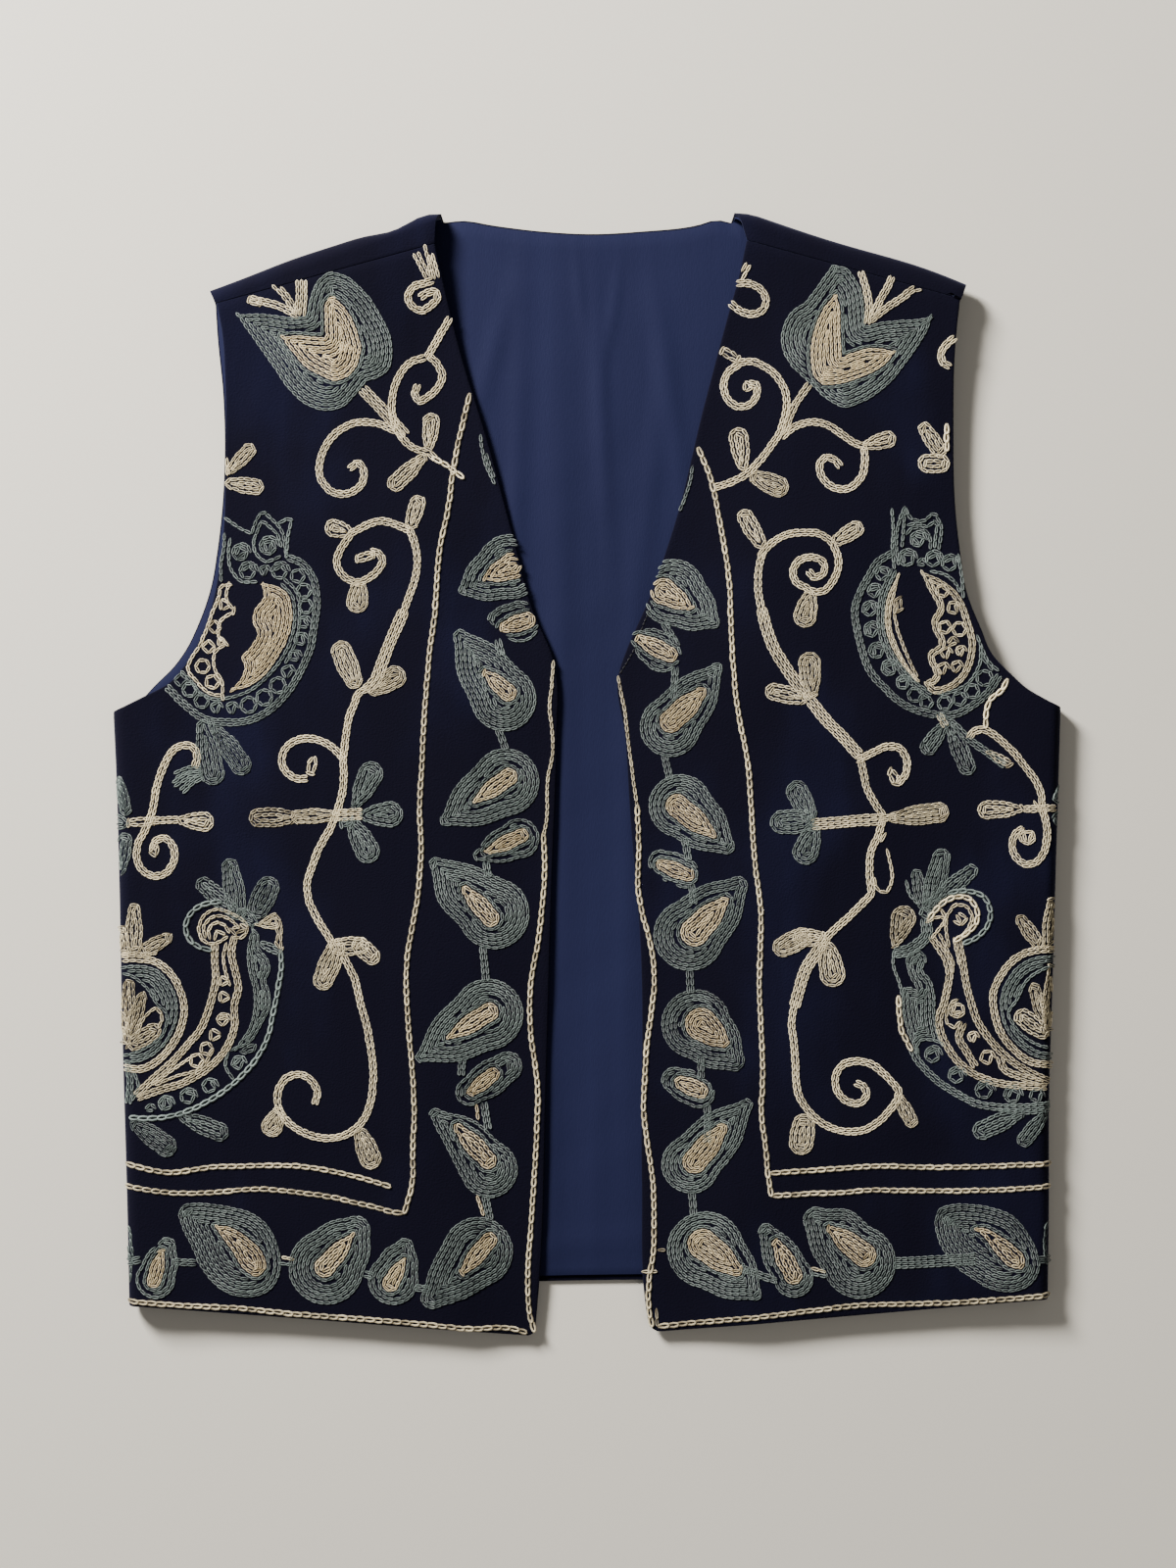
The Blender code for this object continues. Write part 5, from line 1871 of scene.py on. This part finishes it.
LEFT_MIDDLE_VINE = (
    *clubs(CREAM, (761, 528, 9.5, 775, 553, 7.5), (873, 540, 9, 855, 551, 7)),
    Stem((775.5, 567.1, 785.8, 555.8, 800.9, 546.4, 817.8, 543.6, 836.6, 545.5, 847, 552, 853.5, 563.3,
        855.4, 578.4, 850.7, 591.5, 840.4, 602.8, 829, 603.5, 823, 600, 812.1, 593.4, 809.3, 582.1,
        815.9, 571.8, 829.1, 569, 840.4, 574.6, 840.4, 584, 831, 588.7, 825, 583)),
    *clubs(CREAM, (826, 610, 8, 821.5, 628.5, 12.5)),
    Stem((778.3, 563, 774.5, 580.3, 773.6, 599.1, 777.3, 621.7, 780, 632)),
    Stem((777.3, 621.7, 782, 640.5, 789.6, 661.2, 800.9, 680, 814, 698.8, 825.3, 713.8), 3),
    *clubs(CREAM, (826, 677, 12, 827.5, 706, 7.5), (789.5, 706, 9.5, 817, 712.5, 7.5)),
    Stem((827, 715, 844.1, 736.4, 859.2, 751.5, 876, 770), 3),
    Stem((874, 776, 890.6, 768, 903.6, 762.5, 916.6, 763.1, 924.7, 774.5, 923.9, 789.1, 917, 799)),
    *clubs(CREAM, (909.5, 787.5, 5, 914.5, 797, 6.5)),
    Stem((877.6, 770, 880.8, 787.5, 884, 802.2, 890.6, 816.8, 901, 832)),
    Stem((829, 841.2, 864, 838.5, 902, 835.5), 3), *clubs(CREAM, (912, 834.5, 6, 957.5, 829.3, 11)),
    Stem((898, 835, 914, 834)),
    *clubs(TEAL, (813.5, 808, 12, 825, 830, 9.5), (798, 839, 12.5, 820, 838, 12),
        (822, 869, 14, 829, 849, 9)),
    Stem((901, 836, 895.4, 854.2, 888.9, 868.8, 887.3, 885.1, 888.1, 901.3, 888.9, 911.1, 880.8, 920.9,
        867.8, 933.9, 853.2, 946.9, 843.4, 956.6)),
    *stems(1, CREAM, (905, 867.5, 909.3, 885.1, 909.3, 901.3, 904, 910.1, 895.4, 906.8, 892.2, 896.5),
        (903.6, 850, 899, 858)),
    *clubs(CREAM, (798.5, 966.5, 10.5, 818, 957, 11), (818, 957, 10, 836, 957, 8),
        (849.5, 994, 13.5, 845, 970, 9.5)),
    Stem((843, 956, 833.7, 970.9, 822.3, 988.8, 815.8, 1008.3, 810.9, 1026.2), 3),
    Stem((811.5, 1022, 807.7, 1044.1, 810.1, 1063.6, 811.7, 1083.2, 812.5, 1102.7, 815.8, 1118.9,
        823.9, 1132, 835.3, 1143.4, 850, 1151.5, 866.2, 1154.7, 880.9, 1153.1, 895.5, 1145, 906.9, 1133.6,
        916, 1120, 916.7, 1113.7, 910.1, 1104.3, 898.8, 1092.9, 885.7, 1084.8, 871.1, 1083.2, 858.1, 1088,
        852.4, 1099.4, 854.8, 1114, 864.6, 1123.8, 876, 1125.5, 884.1, 1117.3, 881.5, 1109.2, 873.5, 1105)),
    *clubs(CREAM, (918, 1122, 6, 929.5, 1143.5, 7.5), (820, 1148, 12, 817.5, 1166, 13)),
)
LEFT_SIDE_VINE = (
    Line((1027.4, 694, 1022.3, 703.7, 1010.9, 713.7, 1006.6, 723.8, 1005.6, 742.4)),
    Stem((988.6, 753.2, 993.7, 746.7, 1002.3, 744.6, 1010.9, 748.2, 1022.3, 756.8, 1035.3, 769.7,
        1046.7, 784, 1056.8, 798.4, 1061.8, 811.3, 1062.5, 824.2, 1066.8, 840, 1067.5, 855.8, 1064, 870.1,
        1055.3, 880.2, 1045.3, 881.6, 1035.3, 873, 1032.4, 860.1, 1036.7, 850, 1043, 846)),
    *coils(CREAM, (1048.5, 853.5, 11, 0, 120)), Stem((1054.6, 818, 1058, 824), 1),
    *clubs(CREAM, (1007, 826.4, 10.5, 1042, 825.6, 4)), Stem((1044, 825.6, 1076, 824.5)),
    Patch(((1084, 788, 1078.5, 800, 1073.5, 819, 1084, 822), (1084, 822, 1085, 805, 1084, 788))),
    Patch(((1084, 862, 1078.5, 850, 1073.5, 830, 1084, 827), (1084, 827, 1085, 845, 1084, 862))),
)
LEFT_POMEGRANATE = (
    *stems(1, TEAL, (910.3, 519.3, 911.5, 540, 910.9, 562.4, 912.8, 580), (923, 517.4, 916, 538, 915, 560,
        917, 576), (923.5, 519, 922, 538, 920.5, 558), (924, 518, 930, 529, 942, 531.5, 953, 525, 958.7, 532,
        958.7, 560.5), (926, 536, 936, 534.5, 946, 537, 953, 533, 954, 558), (925, 545, 930, 539.5, 939, 539,
        948, 546, 949.5, 560)),
    *coils(TEAL, (936.7, 551, 11), (925.8, 570, 12, 2.5), (940.6, 574.8, 7), (953, 571, 11.5, 3),
        (969.3, 575, 11.5, 3)),
    *stems(1, TEAL, (977.9, 566, 981, 585, 983, 609.3), (950, 583, 965, 587, 976, 596, 980, 604)),
    *stems(2, TEAL, (911, 563.8, 896, 573.5, 886.5, 588.3, 877, 605.5, 872.5, 622, 875.2, 644.5, 880.8, 667,
        889, 686.5, 905, 704.5, 922, 719, 942, 727, 956.8, 729.5, 973, 729.2, 993.5, 719, 1008.4, 706,
        1018.9, 690), (912, 582, 901.3, 607, 898.5, 629.4, 901, 650.4, 909, 669, 920.5, 685, 934, 699,
        949, 710)),
    *coils(TEAL, (900.4, 586.3, 10, 2), (892.5, 603.5, 10, 1), (887.8, 622, 11, 2), (889.5, 643, 11, 1),
        (895, 664.7, 11.5, 2), (907.5, 682.5, 11.5, 1), (922, 697, 10.5, 2), (933.5, 709, 8.5, 2),
        (945.5, 717, 7.5, 2), (964, 717.5, 8.5, 3), (978.8, 713.5, 8, 2.5), (991.8, 705.5, 8.5, 2.5),
        (1004.5, 692, 9.5, 3)),
    *stems(1, TEAL, (956, 708, 975, 705, 989, 696, 999, 680, 1001, 660), (997, 648.5, 1003, 664, 1009, 676,
        1018, 684), (1002, 670, 1012, 684)),
    Patch(((918, 584, 906.1, 606.4, 902.3, 629.4, 906.1, 652.3, 916.7, 673.4, 928.1, 688.7, 943, 702),
        (943, 702, 928, 681, 917, 660, 910, 638.9, 910.5, 619.8, 915.7, 600, 918, 584)), CREAM),
    Stem((914, 612, 913, 627.4, 918.6, 650.4, 926.5, 671, 935.5, 690), 1),
    *clubs(CREAM, (917.5, 612, 3.5, 917, 622, 3.5)),
    Patch(((938.7, 582.5, 956.8, 589.2, 974, 600.7, 983.6, 614, 991.3, 635, 996, 656, 994.1, 673.4,
        985.5, 692.5, 972, 704, 951, 707.8, 941.5, 697), (941.5, 697, 952, 688.7, 947, 675.3, 947, 666,
        957, 657.5, 951, 642, 950.5, 631, 955.9, 622, 947.3, 602.6, 938.7, 582.5)), CREAM, most=2),
    *coils(CREAM, (962, 603, 7.5, 1.5), (973, 621, 9.5, 2), (964, 640, 7.5, 1), (979, 642, 8.5, 2),
        (972, 655.5, 7.5), (965, 667, 8.5, 1), (980, 665, 8), (962, 683, 8.5, 1), (976, 681, 8.5, 1.5)),
    *clubs(TEAL, (962, 742, 6, 947.5, 762, 9.5), (970, 742, 6, 986.5, 782, 10)), Stem((958, 729, 965, 741)),
    Stem((957, 729, 972, 738.4, 987.4, 753.7, 1008.5, 769, 1024, 781), 2, TEAL),
    *clubs(CREAM, (1009, 768, 3.5, 1028, 779, 5.5)),
)
LEFT_BIRD = (
    Stem((924.5, 899.4, 928, 911, 936, 922), 1, TEAL),
    *clubs(TEAL, (935.5, 893, 6.5, 943, 922, 7.5), (960.5, 875.5, 10, 949, 922, 9),
        (990.5, 889, 8, 955, 920, 8), (943, 931, 6, 947, 936, 4)),
    Line((968, 911.5, 975.8, 909.7, 988.2, 909.7, 1002.7, 914.9, 1010, 928.4, 1007, 945, 996.5, 956.4,
        984.1, 962.6), thread=TEAL),
    Line((946.8, 939, 957, 926, 973.7, 915.5, 988.2, 917, 996.6, 928.4, 995.5, 942.9, 986.2, 952.2,
        975, 959.5)), *coils(CREAM, (980, 937, 8.5, 0, 200)),
    *stems(1, CREAM, (968, 966, 965.5, 948, 967, 933, 975, 924, 985, 924.5, 991.5, 933, 989, 945, 980, 957),
        (946, 941, 957, 936, 964, 938, 958, 948, 951, 957), (960, 928, 964, 936, 963, 944)),
    Stem((950, 956, 957.5, 966, 965.5, 980, 968.6, 992.6, 966.5, 1009.2, 962.4, 1025.8, 958.2, 1038.2,
        960.3, 1054.8, 967.5, 1069.3, 977.9, 1083.8, 994.5, 1096.2, 1017.3, 1104.5, 1044.2, 1107.6,
        1067, 1108.7)),
    *stems(1, CREAM, (958, 953, 966, 968, 972, 982, 972, 992), (973, 957, 976, 972, 979, 984)),
    Stem((977.9, 960, 982, 980.2, 985.1, 1000.9, 990.3, 1021.6, 996.5, 1040.3, 1006.9, 1056.8,
        1021.4, 1073.4, 1040, 1088, 1056.6, 1097, 1070, 1103)), *coils(CREAM, (977, 1030, 11.5, 2, 90)),
    Stem((966, 1030, 967, 1044, 974, 1048, 979, 1043), 1), *coils(CREAM, (992.4, 1058.5, 8)),
    Stem((983, 1044, 978.5, 1058, 986.2, 1073, 995, 1088)), *coils(CREAM, (1006.9, 1079.6, 10, 3)),
    Stem((1019.3, 1078, 1024, 1090, 1040, 1098, 1060, 1104)),
    *clubs(CREAM, (922, 937, 13.3, 912.5, 965, 3.5)),
    Stem((944.7, 938, 945, 955, 936.4, 963.6, 926, 969.8, 914, 972), 3, TEAL),
    Patch(((937.5, 967, 946, 978, 942.7, 988.5, 951, 1000.9, 955, 1019.5, 955, 1036, 959.2, 1056.8,
        966, 1070), (966, 1070, 950, 1063, 940, 1064, 936.4, 1077.6), (936.4, 1077.6, 928, 1060,
        921.9, 1040.3, 919.9, 1019.5, 921, 1008, 928, 1006, 934.4, 1009), (934.4, 1009, 926, 992.6,
        924, 978.1, 937.5, 967))), Stem((912, 970, 911.6, 984.3, 917.8, 1003, 920.9, 1015.4), 1, TEAL),
    Line((916.5, 1017, 917.8, 1036, 919.9, 1050.6, 930.2, 1071.4)),
    Stem((930, 1070, 936, 1081, 946.8, 1094, 961.3, 1106.6, 977.9, 1116.9, 994.5, 1125.2, 1019.3, 1129.4,
        1044.2, 1129.4, 1071, 1127.3), 2, TEAL),
    *coils(TEAL, (952, 1076.5, 11.5, 3), (976, 1097.5, 11.5, 3), (1004.5, 1112.5, 12.5, 4),
        (1032.8, 1117, 12, 3), (1057, 1118, 10, 3)),
    *clubs(TEAL, (1002, 1153, 10.5, 1040, 1136, 6), (1045, 1162, 8.5, 1064, 1138, 5.5)),
    *stems(1, TEAL, (1010, 1131, 1046, 1135, 1070, 1133), (1071, 1092, 1070, 1130)),
)
LEFT_ROUND_FLOWER = (
    Stem((1076, 968.5, 1060.8, 968.8, 1044.2, 972.9, 1029.7, 983.3, 1019.3, 997.8, 1013, 1014, 1014.1, 1032,
        1020.3, 1052.7, 1032.8, 1069.3, 1048.3, 1081.7, 1074, 1087)),
    Patch(((1086, 974, 1072, 974, 1056.6, 975.5, 1040, 983, 1027, 998, 1020, 1015, 1020.5, 1036, 1028, 1055,
        1040, 1069, 1056, 1079, 1072, 1082, 1086, 1082), (1086, 1082, 1086, 1030, 1086, 974)), TEAL,
        hole=LEFT_PALMETTE),
    *clubs(CREAM, (1072, 988, 4.5, 1071, 1050, 7), (1055, 1009, 6.5, 1066, 1044, 6),
        (1043.5, 1038, 10, 1062, 1052, 9)), Stem((1060, 1016, 1066, 1040), 1),
    *clubs(CREAM, (1041.5, 939, 6.5, 1058, 962, 7.5), (1073, 921, 6, 1070, 962, 8)),
)
LEFT_MOTIFS = {
    "edge_lines": LEFT_EDGE_LINES,
    "leaf_border": LEFT_LEAF_BORDER,
    "tulip": LEFT_TULIP,
    "upper_vine": LEFT_UPPER_VINE,
    "middle_vine": LEFT_MIDDLE_VINE,
    "side_vine": LEFT_SIDE_VINE,
    "pomegranate": LEFT_POMEGRANATE,
    "bird": LEFT_BIRD,
    "round_flower": LEFT_ROUND_FLOWER,
}


@dataclass
class Studio:
    """A pale floor, soft light from the upper left and the camera straight above.

    The place that the camera looks at and the photograph's height are in its pixels, the lens
    and its sensor in millimetres, and the floor and the garment's level in metres.
    """

    look_at: tuple = (600.0, 800.0)
    photo_height: float = 1600.0
    lens: float = 70.0
    sensor: float = 36.0
    garment_level: float = 0.010
    floor_level: float = -0.0002
    floor_reach: float = 4.0
    floor_dark: tuple = (0.698, 0.657, 0.576, 1)
    floor_light: tuple = (0.758, 0.714, 0.628, 1)
    floor_roughness: float = 0.9
    floor_gloss: float = 0.2
    mottle_waves: float = 2.2
    mottle_share: float = 0.5
    grain_waves: float = 900.0
    grain_share: float = 0.3

    def floor(self) -> None:
        """Lay the floor just under the garment, a square with a faint mottle and grain."""
        shading = Shading("pale_floor")
        mottle = shading.noise(self.mottle_waves)
        grain = shading.noise(self.grain_waves, detail=1.0)
        amount = mottle * self.mottle_share + grain * self.grain_share
        shading.dress(Base_Color=shading.mix(amount, self.floor_dark, self.floor_light),
                      Roughness=self.floor_roughness, Specular_IOR_Level=self.floor_gloss)
        mesh = bpy.data.meshes.new("floor")
        corners = ((-1, -1), (1, -1), (1, 1), (-1, 1))
        mesh.from_pydata([(x * self.floor_reach, y * self.floor_reach, self.floor_level)
                          for x, y in corners], [], [(0, 1, 2, 3)])
        mesh.materials.append(shading.material)
        placed("floor", mesh)

    def light(self, name: str, place: tuple, size: float, power: float, colour: tuple) -> None:
        """Hang a square area light that faces the garment's middle.

        Args:
            name: its name.
            place: where it hangs, in metres.
            size: its side, in metres.
            power: its power, in watts.
            colour: its colour.
        """
        lamp = bpy.data.lights.new(name, "AREA")
        lamp.shape = "SQUARE"
        lamp.size = size
        lamp.energy = power
        lamp.color = colour
        holder = placed(name, lamp)
        holder.location = place
        holder.rotation_euler = holder.location.to_track_quat("Z", "Y").to_euler()

    def world(self, colour: tuple, strength: float) -> None:
        """Fill the room with an even light.

        Args:
            colour: its colour.
            strength: its strength.
        """
        world = bpy.data.worlds.new("studio")
        world.use_nodes = True
        background = world.node_tree.nodes["Background"]
        background.inputs["Color"].default_value = colour
        background.inputs["Strength"].default_value = strength
        bpy.context.scene.world = world

    def camera(self) -> None:
        """Set the camera over the photograph's middle, as high as its lens and its field need."""
        x, y = PHOTO.plan(self.look_at)[0] * MM
        field_height = self.photo_height * PHOTO.pixel * MM
        distance = field_height * self.lens / self.sensor
        lens = bpy.data.cameras.new("camera")
        lens.lens = self.lens
        lens.sensor_width = self.sensor
        holder = placed("camera", lens)
        holder.location = (x, y, self.garment_level + distance)
        bpy.context.scene.camera = holder

    def build(self) -> None:
        """Set up the whole studio."""
        self.floor()
        self.light("key", (-1.3, 1.4, 1.1), 0.6, 158.0, (1.0, 0.985, 0.955))
        self.light("fill", (1.3, -0.6, 1.9), 1.6, 5.0, (1.0, 0.975, 0.94))
        self.world((1.0, 0.98, 0.95, 1), 0.16)
        self.camera()


def main() -> None:
    """Build the garment and the studio, and report each piece."""
    logging.basicConfig(level=logging.INFO, format="%(name)s %(message)s")
    velvet = Velvet().material()
    lining = Sateen().material()
    threads = {thread: yarn.material() for thread, yarn in YARNS.items()}
    Back().build("velvet_back", "back", "velvet", BACK_WALL, ["floor"], velvet)
    inside = Back(level=LINING_LEVEL, neck_in=1.0, armhole_in=0.8, hem_in=3.2, relief=LiningRelief(),
                  lower_rows=70, neck_columns=84)
    inside.build("sateen_lining", "back_lining", "lining", LINING_WALL, ["velvet_back"], lining)
    for side, motifs, seed in ((RIGHT_SIDE, RIGHT_MOTIFS, 100), (LEFT_SIDE, LEFT_MOTIFS, 200)):
        Front(side).build(velvet, lining)
        Embroidery(side, motifs, threads, seed).build()
    Studio().build()
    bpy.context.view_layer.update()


if __name__ == "__main__":
    main()
